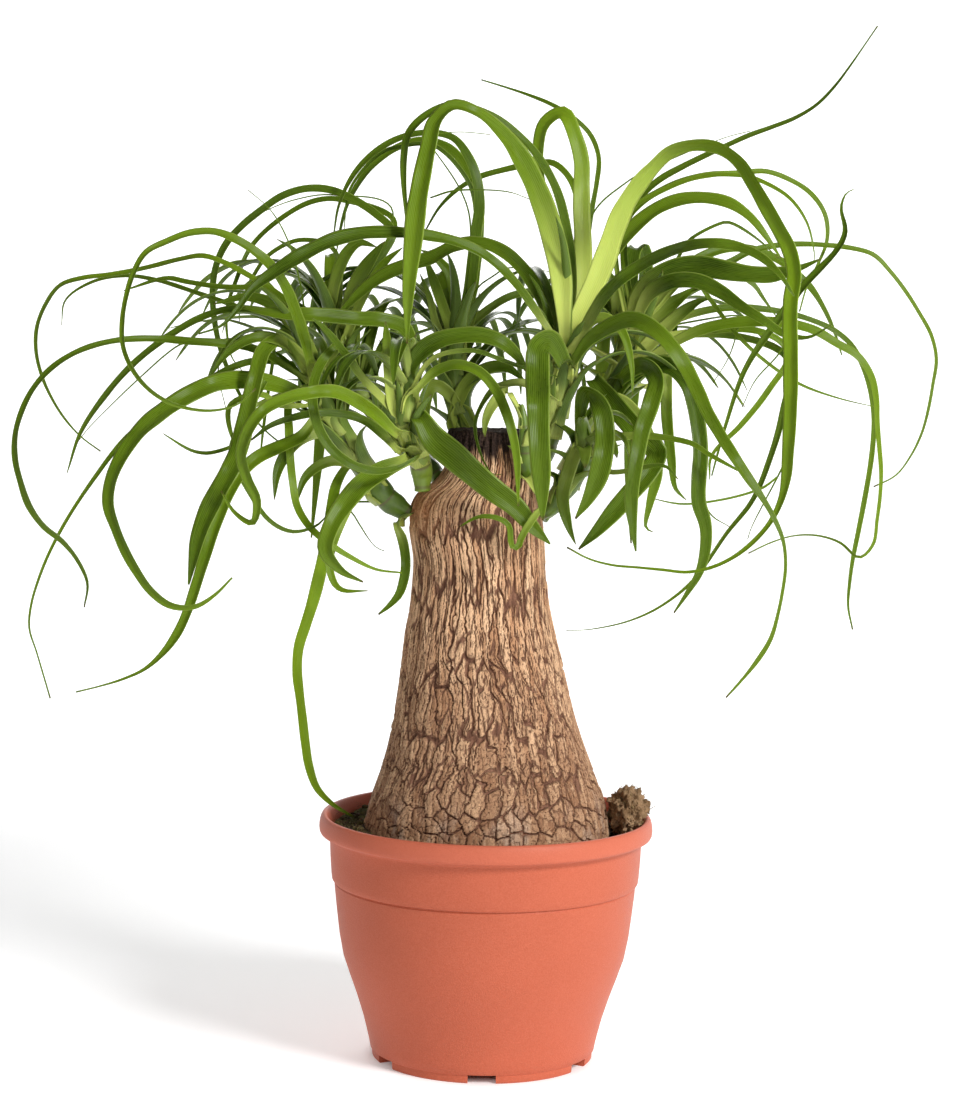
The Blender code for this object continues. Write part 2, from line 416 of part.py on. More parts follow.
def clear_of_trunk(strand, depth):
    """Keeps a leaf in front of the trunk, or behind it if it was drawn there."""
    at = place(strand.route[:, 0], strand.route[:, 1], depth) / CM
    centre, half_width, half_depth = trunk_at(at[:, 2])
    aside = np.maximum(np.abs(at[:, 0] - centre) - strand.across / CM, 0.0) / half_width
    beside = (aside < 1.0) & (at[:, 2] < TRUNK_SAWN_TOP + 0.3)
    bulge = half_depth * np.sqrt(np.clip(1.0 - aside ** 2, 0.0, 1.0)) * CM + strand.towards + 0.0022
    front = np.where(beside, np.minimum(depth, -bulge), depth)
    back = np.where(beside, np.maximum(depth, bulge), depth)
    return np.where(strand.depth > 0, back, front)


def unit(vectors):
    return vectors / np.maximum(np.linalg.norm(vectors, axis=-1, keepdims=True), 1e-12)


def tangents(points):
    return unit(np.gradient(points, axis=0))


def new_object(name, mesh_data, material, smooth=True):
    vertices, faces = mesh_data
    mesh = bpy.data.meshes.new(name)
    mesh.from_pydata([tuple(v) for v in vertices], [], faces)
    mesh.validate()
    if smooth:
        mesh.shade_smooth()
        mesh.set_sharp_from_angle(angle=math.radians(50))
    mesh.materials.append(material)
    item = bpy.data.objects.new(name, mesh)
    bpy.context.collection.objects.link(item)
    return item


def make_material(name, colour, roughness):
    material = bpy.data.materials.new(name)
    material.use_nodes = True
    shader = material.node_tree.nodes["Principled BSDF"]
    shader.inputs["Base Color"].default_value = (*colour, 1.0)
    shader.inputs["Roughness"].default_value = roughness
    shader.inputs["Metallic"].default_value = 0.0
    return material


def stack_of_rings(rings):
    """Closes a list of equal rings of points into a solid, with a flat cap on each end."""
    sides = len(rings[0])
    vertices = [p for ring in rings for p in ring]
    faces = []
    for r in range(len(rings) - 1):
        for k in range(sides):
            n = (k + 1) % sides
            faces.append((r * sides + k, r * sides + n, (r + 1) * sides + n, (r + 1) * sides + k))
    faces.append(tuple(reversed(range(sides))))
    faces.append(tuple(range((len(rings) - 1) * sides, len(rings) * sides)))
    return vertices, faces


def turned_ring(radius, height, sides=ROUND_SIDES):
    turns = [2 * math.pi * k / sides for k in range(sides)]
    return [(radius * MM * math.cos(t), radius * MM * math.sin(t), height * MM) for t in turns]


def cut(target, name, vertices_and_faces):
    """Takes a hidden cutter out of a piece."""
    cutter = new_object(name, vertices_and_faces, target.data.materials[0], smooth=False)
    cutter.hide_render = True
    cutter.display_type = "WIRE"
    modifier = target.modifiers.new(name, "BOOLEAN")
    modifier.operation = "DIFFERENCE"
    modifier.solver = "EXACT"
    modifier.object = cutter


def make_pot():
    floor = POT_INSIDE[-1][1]
    profile = [(FOOT_INNER_RADIUS, FOOT_HEIGHT), (FOOT_INNER_RADIUS, 0.0), (FOOT_OUTER_RADIUS, 0.0),
               (FOOT_OUTER_RADIUS, FOOT_HEIGHT)] + POT_OUTSIDE + POT_INSIDE
    rings = [turned_ring(r, z) for r, z in profile]
    pot = new_object("pot", stack_of_rings(rings), make_material("pot_plastic", (0.66, 0.15, 0.08), 0.45))
    notches = []
    for k in range(FOOT_NOTCHES):
        notches.append(bar(2 * math.pi * (k + 0.5) / FOOT_NOTCHES, FOOT_INNER_RADIUS - 3.0,
                           FOOT_OUTER_RADIUS + 3.0, FOOT_NOTCH_WIDTH, -1.0, FOOT_HEIGHT))
    cut(pot, "notch_cutter", joined(notches))
    drains = []
    for k in range(DRAIN_HOLES):
        turn = 2 * math.pi * k / DRAIN_HOLES
        centre = np.array((DRAIN_CIRCLE * math.cos(turn), DRAIN_CIRCLE * math.sin(turn), 0.0)) * MM
        drains.append(stack_of_rings([np.array(turned_ring(DRAIN_RADIUS, z, 12)) + centre
                                      for z in (-1.0, floor + 1.0)]))
    cut(pot, "drain_cutter", joined(drains))


def bar(turn, inner, outer, width, bottom, top):
    """A box that lies along a radius of the pot, as vertices and faces."""
    out = np.array((math.cos(turn), math.sin(turn), 0.0))
    side = np.array((-math.sin(turn), math.cos(turn), 0.0)) * width / 2
    ends = [[out * r + side * s + np.array((0.0, 0.0, z)) for r, s in
             ((inner, -1), (outer, -1), (outer, 1), (inner, 1))] for z in (bottom, top)]
    return stack_of_rings([[p * MM for p in ring] for ring in ends])


def joined(solids):
    """Puts separate solids in one list of vertices and faces."""
    vertices, faces = [], []
    for some_vertices, some_faces in solids:
        start = len(vertices)
        vertices += list(some_vertices)
        faces += [tuple(start + v for v in face) for face in some_faces]
    return vertices, faces


def make_soil():
    """Potting soil: it fills the pot, with a bumpy top and a pocket for the foot of the trunk."""
    wall = [(r - GAP / MM, z) for r, z in reversed(POT_INSIDE) if z < SOIL_TOP - 3.0]
    wall[0] = (wall[0][0], wall[0][1] + GAP / MM)
    profile = wall + [(77.9, SOIL_TOP - 2.5), (77.4, SOIL_TOP)]
    profile += [(r, SOIL_TOP) for r in (74.5, 71.5, 68.5, 65.8)]
    profile += [(POCKET_RADIUS, SOIL_TOP - 0.5), (POCKET_RADIUS, POCKET_FLOOR)]
    rings = []
    for r, z in profile:
        ring = [Vector(p) for p in turned_ring(r, z)]
        if z == SOIL_TOP:
            for p in ring:
                p.z += SOIL_BUMP * MM * noise.noise(p * 90.0)
        rings.append(ring)
    new_object("soil", stack_of_rings(rings), make_material("soil", (0.05, 0.03, 0.02), 0.95), smooth=False)


def make_soil_clump():
    """A mossy clod that has been pushed up against the rim."""
    builder = bmesh.new()
    bmesh.ops.create_icosphere(builder, subdivisions=2, radius=1.0)
    centre = Vector(CLUMP_CENTRE) * MM
    lowest = (SOIL_TOP + SOIL_BUMP) * MM
    for v in builder.verts:
        lump = 1.0 + 0.16 * noise.noise(v.co * 1.7)
        v.co = centre + Vector(a * r * MM for a, r in zip(v.co, CLUMP_RADII)) * lump
        v.co.z = max(v.co.z, lowest)
        reach = math.hypot(v.co.x, v.co.y)
        widest = 0.0793 if v.co.z < 0.1262 else reach
        if reach > widest:
            v.co.x *= widest / reach
            v.co.y *= widest / reach
    bmesh.ops.remove_doubles(builder, verts=builder.verts, dist=0.0001)
    flat = [f for f in builder.faces if all(abs(v.co.z - lowest) < 1e-6 for v in f.verts)]
    bmesh.ops.dissolve_faces(builder, faces=flat)
    material = make_material("moss", (0.07, 0.07, 0.03), 0.95)
    mesh = bpy.data.meshes.new("soil_clump")
    builder.to_mesh(mesh)
    builder.free()
    mesh.materials.append(material)
    item = bpy.data.objects.new("soil_clump", mesh)
    bpy.context.collection.objects.link(item)


def make_trunk():
    """The stout trunk: ridged bark above, a swollen foot below, and a flat sawn top."""
    rings = []
    heights = [row[0] for row in TRUNK_OUTLINE]
    for z in heights:
        centre, half_width, half_depth = trunk_at(z)
        relief = BARK_RELIEF * min(max((z - 12.0) / 2.0, 0.0), 1.0)
        ring = []
        for k in range(TRUNK_SIDES):
            turn = 2 * math.pi * k / TRUNK_SIDES
            out = Vector((math.cos(turn), math.sin(turn), 0.0))
            ridge = noise.noise(Vector((out.x * 2.6, out.y * 2.6, z * 0.16)))
            swell = 1.0 + relief * ridge
            ring.append(((centre + half_width * swell * out.x) * CM, half_depth * swell * out.y * CM, z * CM))
        rings.append(ring)
    cap = [(p[0] * 0.93, p[1] * 0.93, TRUNK_SAWN_TOP * CM) for p in rings[-1]]
    new_object("trunk", stack_of_rings(rings + [cap]), make_material("bark", (0.32, 0.2, 0.13), 0.85))


def make_shoot(strand, material):
    """A shoot: a round, tapered stem on the strand's route, with a rounded foot and tip."""
    centres = place(strand.route[:, 0], strand.route[:, 1], strand.depth)
    along = tangents(centres)
    side = unit(np.cross(along, (0.0, 1.0, 0.0)))
    other = np.cross(side, along)
    rings = []
    for i, centre in enumerate(centres):
        ring = []
        for k in range(SHOOT_SIDES):
            turn = 2 * math.pi * k / SHOOT_SIDES
            ring.append(centre + strand.across[i] * (math.cos(turn) * other[i] + math.sin(turn) * side[i]))
        rings.append(ring)
    foot = [centres[0] + 0.45 * (p - centres[0]) - 0.35 * strand.across[0] * along[0] for p in rings[0]]
    tip = [centres[-1] + 0.4 * (p - centres[-1]) + 0.6 * strand.across[-1] * along[-1] for p in rings[-1]]
    new_object(strand.name, stack_of_rings([foot] + rings + [tip]), material)


def blade_axes(centres, turn):
    """The direction across the blade and the one it faces, at each station."""
    along = tangents(centres)
    sight = unit(centres - EYE)
    flat = np.cross(along, sight)
    for i in range(1, len(flat)):
        steady = flat[i - 1] - along[i] * (flat[i - 1] @ along[i])
        flat[i] += 0.25 * steady / max(np.linalg.norm(steady), 1e-9)
        flat[i] /= np.linalg.norm(flat[i])
    flat[0] /= np.linalg.norm(flat[0])
    facing = np.cross(along, flat)
    turn = -turn if flat[:, 2].sum() > 0 else turn
    across = np.cos(turn)[:, None] * flat + np.sin(turn)[:, None] * facing
    return across, np.cross(along, across)


def make_leaf(strand, width, turn, material):
    """A strap leaf: a thin blade with a keel underneath, from its base to its tip."""
    centres = place(strand.route[:, 0], strand.route[:, 1], strand.depth)
    count = len(centres)
    across, facing = blade_axes(centres, np.radians(spread(turn, count)))
    half = leaf_width(width, count)[:, None] / 2
    keel = np.minimum(LEAF_KEEL, half * 0.8)
    rings = list(zip(centres - across * half, centres - facing * keel, centres + across * half))
    new_object(strand.name, stack_of_rings(rings), material)


def clear_scene():
    for item in list(bpy.data.objects):
        bpy.data.objects.remove(item, do_unlink=True)


def build():
    clear_scene()
    make_pot()
    make_soil()
    make_soil_clump()
    make_trunk()
    shoots = [shoot_strand(name, points) for name, points in SHOOTS.items()]
    leaves = [leaf_strand(name, *rest) for name, rest in LEAVES.items()]
    settle(shoots + leaves)
    stem = make_material("shoot", (0.30, 0.32, 0.10), 0.5)
    for strand in shoots:
        make_shoot(strand, stem)
    for strand in leaves:
        width, turn, depth, route = LEAVES[strand.name]
        green = make_material(strand.name, (0.10, 0.19, 0.045), 0.45)
        make_leaf(strand, width, turn, green)


build()
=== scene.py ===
"""The looks of the potted ponytail palm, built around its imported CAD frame."""

import math
import random

import bmesh
import bpy
import numpy as np
from mathutils import Matrix, Vector, noise


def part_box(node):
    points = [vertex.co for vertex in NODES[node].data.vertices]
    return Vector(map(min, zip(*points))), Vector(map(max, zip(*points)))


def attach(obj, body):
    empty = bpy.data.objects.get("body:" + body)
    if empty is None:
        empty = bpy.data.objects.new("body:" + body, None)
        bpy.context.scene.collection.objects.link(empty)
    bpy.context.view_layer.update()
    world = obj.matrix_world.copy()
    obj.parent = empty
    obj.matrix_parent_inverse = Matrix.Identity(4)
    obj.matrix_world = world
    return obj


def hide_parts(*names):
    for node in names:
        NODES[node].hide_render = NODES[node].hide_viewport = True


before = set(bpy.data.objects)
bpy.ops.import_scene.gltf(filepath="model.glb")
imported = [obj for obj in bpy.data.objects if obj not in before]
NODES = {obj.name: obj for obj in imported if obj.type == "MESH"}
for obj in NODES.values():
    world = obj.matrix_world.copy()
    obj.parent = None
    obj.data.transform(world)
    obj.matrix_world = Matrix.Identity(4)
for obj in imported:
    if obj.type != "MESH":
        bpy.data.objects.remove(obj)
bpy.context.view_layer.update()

MM = 0.001
CM = 0.01
EYE = np.array((-0.0055, -1.400, 0.390))
EYE_PITCH = math.radians(5.22)
EYE_ROLL = math.radians(1.01)
LENS = 36.0 * 2774.0 / 1093.0

POT_PROFILE = [
    (0.0, 4.5), (46.0, 4.5), (48.0, 4.2), (48.6, 0.6), (49.2, 0.0), (55.9, 0.0), (56.5, 0.6),
    (56.7, 4.0), (57.6, 4.8), (58.4, 9.0), (59.6, 14.0), (61.5, 21.5), (65.0, 32.5), (68.6, 42.5),
    (72.0, 52.5), (74.1, 63.5), (75.5, 75.0), (76.6, 85.0), (77.0, 89.8), (76.7, 90.2), (76.6, 90.8),
    (77.8, 91.2), (78.3, 92.0), (78.6, 94.5), (79.2, 103.0), (79.6, 112.9), (80.0, 114.2), (81.0, 114.9),
    (83.4, 115.2), (84.4, 115.7), (84.9, 116.6), (85.1, 118.4), (85.0, 120.2), (84.7, 122.0),
    (84.2, 123.6), (83.6, 124.6), (82.8, 125.0), (82.0, 124.9), (81.3, 124.4), (80.7, 122.8),
    (80.2, 119.0), (77.6, 109.0), (75.6, 90.0), (73.4, 75.0), (69.9, 52.5), (62.9, 32.5), (59.2, 21.5),
    (55.0, 9.5), (50.0, 7.0), (0.0, 7.0),
]
POT_SIDES = 192
FOOT_NOTCHES = 6
NOTCH_WIDTH = 14.0
NOTCH_TOP = 4.45
DRAIN_HOLES = 5
DRAIN_CIRCLE = 30.0
DRAIN_RADIUS = 4.0
LIP_BOTTOM = 114.0
SOIL_TOP = 114.0
SOIL_EDGE = 77.6
POCKET_RADIUS = 62.6
SOIL_SIDES = 360
CRUMBS = 1100
MOSS_STRANDS = 170
CLOD_BITS = 260

# Trunk: left and right edges of its outline at each height, and its half depth (cm).
TRUNK_OUTLINE = [
    (9.03, -4.30, 4.30, 4.30), (9.40, -5.30, 5.30, 5.30), (10.40, -6.12, 6.12, 6.12),
    (11.60, -6.28, 6.28, 6.28), (12.30, -6.10, 6.20, 6.10), (13.20, -5.85, 6.00, 5.80),
    (15.20, -5.20, 5.25, 5.05), (17.25, -4.80, 4.55, 4.55), (19.30, -4.50, 3.95, 4.15),
    (21.35, -4.30, 3.40, 3.80), (23.40, -4.00, 2.95, 3.45), (25.40, -3.90, 2.75, 3.20),
    (27.45, -4.15, 2.60, 3.00), (28.40, -4.05, 2.50, 2.90), (28.90, -3.75, 2.45, 2.80),
    (29.45, -3.00, 2.35, 2.60), (30.10, -2.50, 2.25, 2.35), (31.40, -2.36, 2.00, 2.15),
    (32.05, -2.26, 1.88, 2.05),
]
TRUNK_FOOT = 10.8
TRUNK_TOP = 32.2
TRUNK_COLUMNS = 560
TRUNK_ROWS = 520

# Shoots: (x, z) in the front elevation and depth, in cm, with the radius in mm at each point.
SHOOTS = {
    "shoot_left": [
        (-4.2, 27.8, -0.5, 4.6), (-4.8, 28.2, -0.6, 5.4), (-5.45, 28.7, -0.8, 6.4), (-6.1, 29.7, -1.1, 5.2),
        (-7.1, 31.0, -1.6, 4.6), (-8.0, 32.4, -2.0, 4.4), (-8.7, 34.0, -2.4, 4.2), (-9.1, 35.2, -2.6, 3.4)],
    "shoot_front_left": [
        (-3.5, 29.0, -1.2, 4.2), (-3.55, 29.85, -1.3, 5.0), (-3.65, 30.4, -1.7, 5.8), (-3.9, 31.3, -2.2, 4.8),
        (-4.35, 32.5, -2.7, 4.6), (-4.3, 33.7, -2.8, 4.4), (-4.25, 34.9, -2.6, 3.2)],
    "shoot_back_left": [
        (-2.6, 29.6, 1.8, 4.6), (-3.35, 30.3, 2.6, 5.2), (-4.2, 31.2, 3.4, 6.2), (-5.6, 32.6, 4.4, 5.2),
        (-7.0, 34.4, 5.0, 4.8), (-7.7, 36.0, 5.2, 4.4), (-8.0, 37.3, 5.2, 3.2)],
    "shoot_back_centre": [
        (-0.8, 30.4, 2.2, 4.6), (-1.0, 31.2, 3.0, 5.0), (-1.4, 32.2, 3.5, 5.8), (-1.9, 33.6, 3.9, 5.2),
        (-2.1, 35.2, 4.2, 4.8), (-2.0, 36.4, 4.3, 3.4)],
    "shoot_right_centre": [
        (2.0, 30.2, -0.3, 4.2), (2.55, 30.9, -0.4, 5.0), (2.85, 31.8, -0.6, 5.4), (3.1, 33.1, -0.9, 5.2),
        (3.35, 34.6, -1.2, 5.2), (3.5, 36.0, -1.4, 4.4)],
    "shoot_right": [
        (2.5, 27.8, 1.6, 4.6), (3.2, 28.6, 2.0, 5.2), (4.0, 29.9, 2.4, 6.0), (4.9, 31.8, 2.6, 5.2),
        (5.7, 33.7, 2.6, 5.0), (6.5, 35.4, 2.5, 4.8), (7.2, 36.8, 2.4, 3.6)],
    "shoot_low_right": [
        (2.5, 27.9, -1.0, 3.4), (3.1, 28.3, -1.2, 4.0), (3.7, 29.2, -1.6, 5.4), (4.35, 30.3, -1.9, 5.2),
        (4.6, 31.3, -2.0, 4.6), (4.5, 32.1, -2.0, 3.0)],
    "bud_young": [
        (1.6, 29.9, -2.2, 2.8), (1.75, 30.3, -2.7, 3.4), (1.7, 31.1, -2.9, 3.6), (1.6, 32.1, -3.0, 2.8),
        (1.45, 33.4, -3.0, 0.9)],
}

# How young, and so how pale and yellow, each shoot's growth is.
YOUTH = {"shoot_left": 0.55, "shoot_front_left": 0.8, "shoot_back_left": 0.35, "shoot_back_centre": 0.3,
         "shoot_right_centre": 0.85, "shoot_right": 1.0, "shoot_low_right": 0.35, "bud_young": 0.8}


# ---------------------------------------------------------------- meshes

def place(x_cm, z_cm, depth):
    """Puts a point of the front elevation at its depth, along the line from the eye."""
    drawn = np.stack([x_cm * CM, np.zeros_like(x_cm), z_cm * CM], -1)
    return EYE + (drawn - EYE) * (1.0 + depth / -EYE[1])[..., None]


def unit(vectors):
    return vectors / np.maximum(np.linalg.norm(vectors, axis=-1, keepdims=True), 1e-12)


def ease(low, high, value):
    part = np.clip((value - low) / (high - low), 0.0, 1.0)
    return part * part * (3.0 - 2.0 * part)


def curve_through(points, spacing):
    """Reads evenly spaced rows from a Catmull-Rom curve; the first three columns are the place."""
    given = np.asarray(points, float)
    padded = np.vstack([2 * given[0] - given[1], given, 2 * given[-1] - given[-2]])
    part = np.linspace(0.0, 1.0, 10, endpoint=False)[:, None]
    fine = []
    for i in range(len(given) - 1):
        a, b, c, d = padded[i:i + 4]
        fine.append(0.5 * (2 * b + (c - a) * part + (2 * a - 5 * b + 4 * c - d) * part ** 2
                           + (3 * b - a - 3 * c + d) * part ** 3))
    fine = np.vstack(fine + [given[-1:]])
    along = np.concatenate([[0.0], np.cumsum(np.linalg.norm(np.diff(fine[:, :3], axis=0), axis=1))])
    wanted = np.linspace(0.0, along[-1], max(6, int(along[-1] / spacing) + 1))
    return np.stack([np.interp(wanted, along, fine[:, k]) for k in range(fine.shape[1])], -1)


def new_piece(name, vertices, faces, material, marks=None, smooth=True):
    """Makes a mesh object. Marks are named values, one for each vertex, that its material reads."""
    mesh = bpy.data.meshes.new(name)
    mesh.from_pydata(np.asarray(vertices).tolist(), [], faces)
    mesh.validate()
    if smooth:
        mesh.shade_smooth()
    for key, values in (marks or {}).items():
        attribute = mesh.attributes.new(key, "FLOAT", "POINT")
        attribute.data.foreach_set("value", np.asarray(values, np.float32))
    mesh.materials.append(material)
    piece = bpy.data.objects.new(name, mesh)
    bpy.context.scene.collection.objects.link(piece)
    return piece


def settle_piece(piece, slot, *nodes):
    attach(piece, "root")
    if nodes:
        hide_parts(*nodes)
    return piece


def ring_faces(rings, sides, closed_ends=True):
    faces = []
    for r in range(rings - 1):
        for k in range(sides):
            n = (k + 1) % sides
            faces.append((r * sides + k, r * sides + n, (r + 1) * sides + n, (r + 1) * sides + k))
    if closed_ends:
        faces.append(tuple(reversed(range(sides))))
        faces.append(tuple(range((rings - 1) * sides, rings * sides)))
    return faces


def merge_meshes(parts):
    """Joins (vertices, faces, marks) of many small bodies into one of each."""
    vertices, faces, marks, start = [], [], {}, 0
    for some_vertices, some_faces, some_marks in parts:
        vertices.append(some_vertices)
        faces += [tuple(start + v for v in face) for face in some_faces]
        for key, value in some_marks.items():
            marks.setdefault(key, []).append(np.broadcast_to(value, len(some_vertices)))
        start += len(some_vertices)
    return np.vstack(vertices), faces, {key: np.concatenate(value) for key, value in marks.items()}


# ---------------------------------------------------------------- shader parts

def node(tree, kind, inputs=None, **settings):
    """Adds a shader node. Each input is a value, or an output socket to link."""
    made = tree.nodes.new(kind)
    for key, value in settings.items():
        setattr(made, key, value)
    for key, value in (inputs or {}).items():
        if isinstance(value, bpy.types.NodeSocket):
            tree.links.new(value, made.inputs[key])
        else:
            made.inputs[key].default_value = value
    return made


def maths(tree, operation, first, second=0.0, third=0.0, clamp=False):
    return node(tree, "ShaderNodeMath", {0: first, 1: second, 2: third},
                operation=operation, use_clamp=clamp).outputs[0]


def blend_colour(tree, factor, first, second, kind="MIX"):
    colours = [c if isinstance(c, bpy.types.NodeSocket) else (*c, 1.0) for c in (first, second)]
    return node(tree, "ShaderNodeMix", {0: factor, 6: colours[0], 7: colours[1]},
                data_type="RGBA", blend_type=kind).outputs[2]


def remap(tree, value, low, high, to_low=0.0, to_high=1.0):
    return node(tree, "ShaderNodeMapRange", {0: value, 1: low, 2: high, 3: to_low, 4: to_high}).outputs[0]


def mark(tree, name):
    return node(tree, "ShaderNodeAttribute", attribute_name=name).outputs["Fac"]


def noise_value(tree, vector, scale, detail=4.0, roughness=0.55):
    return node(tree, "ShaderNodeTexNoise", {"Vector": vector, "Scale": scale, "Detail": detail,
                                             "Roughness": roughness}).outputs["Fac"]


def stretched(tree, vector, scale):
    return node(tree, "ShaderNodeMapping", {"Vector": vector, "Scale": scale}).outputs[0]


def new_group(name, inputs, outputs):
    """An empty shader group with named sockets: (name, kind) or (name, kind, default)."""
    group = bpy.data.node_groups.new(name, "ShaderNodeTree")
    for socket_name, kind, *default in inputs:
        socket = group.interface.new_socket(socket_name, in_out="INPUT", socket_type="NodeSocket" + kind)
        if default:
            socket.default_value = default[0]
    for socket_name, kind in outputs:
        group.interface.new_socket(socket_name, in_out="OUTPUT", socket_type="NodeSocket" + kind)
    return group, group.nodes.new("NodeGroupInput").outputs, group.nodes.new("NodeGroupOutput")


def place_group(tree, group, inputs):
    made = tree.nodes.new("ShaderNodeGroup")
    made.node_tree = group
    for key, value in inputs.items():
        if isinstance(value, bpy.types.NodeSocket):
            tree.links.new(value, made.inputs[key])
        else:
            made.inputs[key].default_value = value
    return made.outputs


def new_material(name):
    material = bpy.data.materials.new(name)
    material.use_nodes = True
    tree = material.node_tree
    return material, tree, tree.nodes["Principled BSDF"]


def bump(tree, shader, height, strength, distance):
    made = node(tree, "ShaderNodeBump", {"Height": height, "Strength": strength, "Distance": distance})
    tree.links.new(made.outputs[0], shader.inputs["Normal"])


def make_speckle_group():
    """Fine grains over a slower unevenness, as on moulded plastic or in soil."""
    group, given, result = new_group(
        "fine_speckle", [("Vector", "Vector"), ("Grain", "Float", 900.0), ("Drift", "Float", 20.0)],
        [("Speckle", "Float"), ("Unevenness", "Float"), ("Height", "Float")])
    grain = noise_value(group, given["Vector"], given["Grain"], 2.0, 0.6)
    drift = noise_value(group, given["Vector"], given["Drift"], 3.0, 0.5)
    cells = node(group, "ShaderNodeTexVoronoi",
                 {"Vector": given["Vector"], "Scale": given["Grain"]}).outputs[0]
    group.links.new(remap(group, grain, 0.35, 0.7), result.inputs["Speckle"])
    group.links.new(drift, result.inputs["Unevenness"])
    group.links.new(maths(group, "ADD", grain, maths(group, "MULTIPLY", cells, 0.6)), result.inputs["Height"])
    return group


def make_vein_group():
    """Fine parallel veins that run the length of a strap leaf."""
    group, given, result = new_group(
        "blade_veins", [("Across", "Float"), ("Length", "Float"), ("Veins", "Float", 15.0)],
        [("Lines", "Float"), ("Streak", "Float"), ("Margin", "Float"), ("Height", "Float")])
    turn = maths(group, "MULTIPLY", given["Across"], maths(group, "MULTIPLY", given["Veins"], math.tau))
    wave = maths(group, "MULTIPLY_ADD", maths(group, "SINE", turn), 0.5, 0.5)
    sideways = maths(group, "MULTIPLY", given["Across"], 9.0)
    lengthways = maths(group, "MULTIPLY", given["Length"], 6.0)
    where = node(group, "ShaderNodeCombineXYZ", {0: sideways, 1: lengthways}).outputs[0]
    streak = noise_value(group, where, 1.6, 4.0, 0.6)
    group.links.new(maths(group, "POWER", wave, 3.0), result.inputs["Lines"])
    group.links.new(streak, result.inputs["Streak"])
    aside = maths(group, "ABSOLUTE", maths(group, "SUBTRACT", given["Across"], 0.5))
    group.links.new(remap(group, aside, 0.42, 0.48), result.inputs["Margin"])
    group.links.new(maths(group, "MULTIPLY_ADD", streak, 0.7, wave), result.inputs["Height"])
    return group


def make_bark_group():
    """Bark colour from the marks of the trunk: dark cracks, tan cords above, grey-brown plates low down."""
    group, given, result = new_group(
        "cracked_bark",
        [("Plate", "Float"), ("Hue", "Float"), ("Rise", "Float"), ("Flank", "Float"), ("Vector", "Vector")],
        [("Colour", "Color"), ("Roughness", "Float"), ("Height", "Float")])
    fibre = noise_value(group, stretched(group, given["Vector"], (520.0, 520.0, 60.0)), 1.0, 6.0, 0.7)
    mottle = noise_value(group, stretched(group, given["Vector"], (60.0, 60.0, 24.0)), 1.0, 5.0, 0.6)
    grit = noise_value(group, given["Vector"], 1300.0, 3.0, 0.75)
    upper = blend_colour(group, remap(group, given["Hue"], 0.2, 0.8),
                         (0.62, 0.330, 0.172), (0.92, 0.590, 0.350))
    lower = blend_colour(group, remap(group, given["Hue"], 0.2, 0.8),
                         (0.350, 0.178, 0.092), (0.60, 0.360, 0.205))
    climb = maths(group, "MULTIPLY_ADD", mottle, 0.5, given["Rise"])
    ridge = blend_colour(group, remap(group, climb, 0.50, 0.88), lower, upper)
    flaked = blend_colour(group, maths(group, "MULTIPLY", remap(group, mottle, 0.54, 0.66),
                                       remap(group, given["Rise"], 0.16, 0.01, 0.0, 0.75)),
                          ridge, (0.62, 0.55, 0.48))
    worn = blend_colour(group, maths(group, "MULTIPLY", remap(group, fibre, 0.48, 0.70), 0.62),
                        flaked, (0.175, 0.085, 0.052))
    pale = blend_colour(group, maths(group, "MULTIPLY", remap(group, fibre, 0.47, 0.32), 0.45),
                        worn, (0.74, 0.52, 0.33))
    crack = blend_colour(group, remap(group, fibre, 0.36, 0.62), (0.300, 0.150, 0.092), (0.100, 0.044, 0.028))
    depth = maths(group, "MULTIPLY", remap(group, maths(group, "MULTIPLY_ADD", fibre, 0.40, given["Plate"]),
                                           0.42, 0.98), 1.0, clamp=True)
    bark = blend_colour(group, depth, crack, pale)
    tinged = blend_colour(group, maths(group, "MULTIPLY", given["Flank"], 0.85), bark, (0.60, 0.27, 0.115))
    final = blend_colour(group, maths(group, "MULTIPLY", remap(group, grit, 0.50, 0.72), 0.55), tinged,
                         (0.10, 0.048, 0.032))
    group.links.new(final, result.inputs["Colour"])
    group.links.new(remap(group, depth, 0.0, 1.0, 0.95, 0.74), result.inputs["Roughness"])
    relief = maths(group, "MULTIPLY_ADD", fibre, 0.9, maths(group, "MULTIPLY", grit, 0.3))
    group.links.new(maths(group, "ADD", relief, depth), result.inputs["Height"])
    return group


SPECKLE = make_speckle_group()
VEINS = make_vein_group()
BARK = make_bark_group()


def position(tree):
    return node(tree, "ShaderNodeTexCoord").outputs["Object"]


def plastic_material():
    """Terracotta-coloured moulded plastic, satin, with a faint orange-peel skin."""
    material, tree, shader = new_material("pot_plastic")
    speckle = place_group(tree, SPECKLE, {"Vector": position(tree), "Grain": 1500.0, "Drift": 26.0})
    base = blend_colour(tree, speckle["Unevenness"], (0.44, 0.097, 0.048), (0.51, 0.117, 0.060))
    grained = blend_colour(tree, maths(tree, "MULTIPLY", speckle["Speckle"], 0.34),
                           base, (0.64, 0.190, 0.115))
    lip = blend_colour(tree, maths(tree, "MULTIPLY", mark(tree, "edge"), 0.5), grained, (0.58, 0.150, 0.088))
    tree.links.new(lip, shader.inputs["Base Color"])
    tree.links.new(remap(tree, speckle["Unevenness"], 0.3, 0.7, 0.40, 0.50), shader.inputs["Roughness"])
    shader.inputs["Specular IOR Level"].default_value = 0.14
    bump(tree, shader, speckle["Height"], 0.32, 0.0004)
    return material


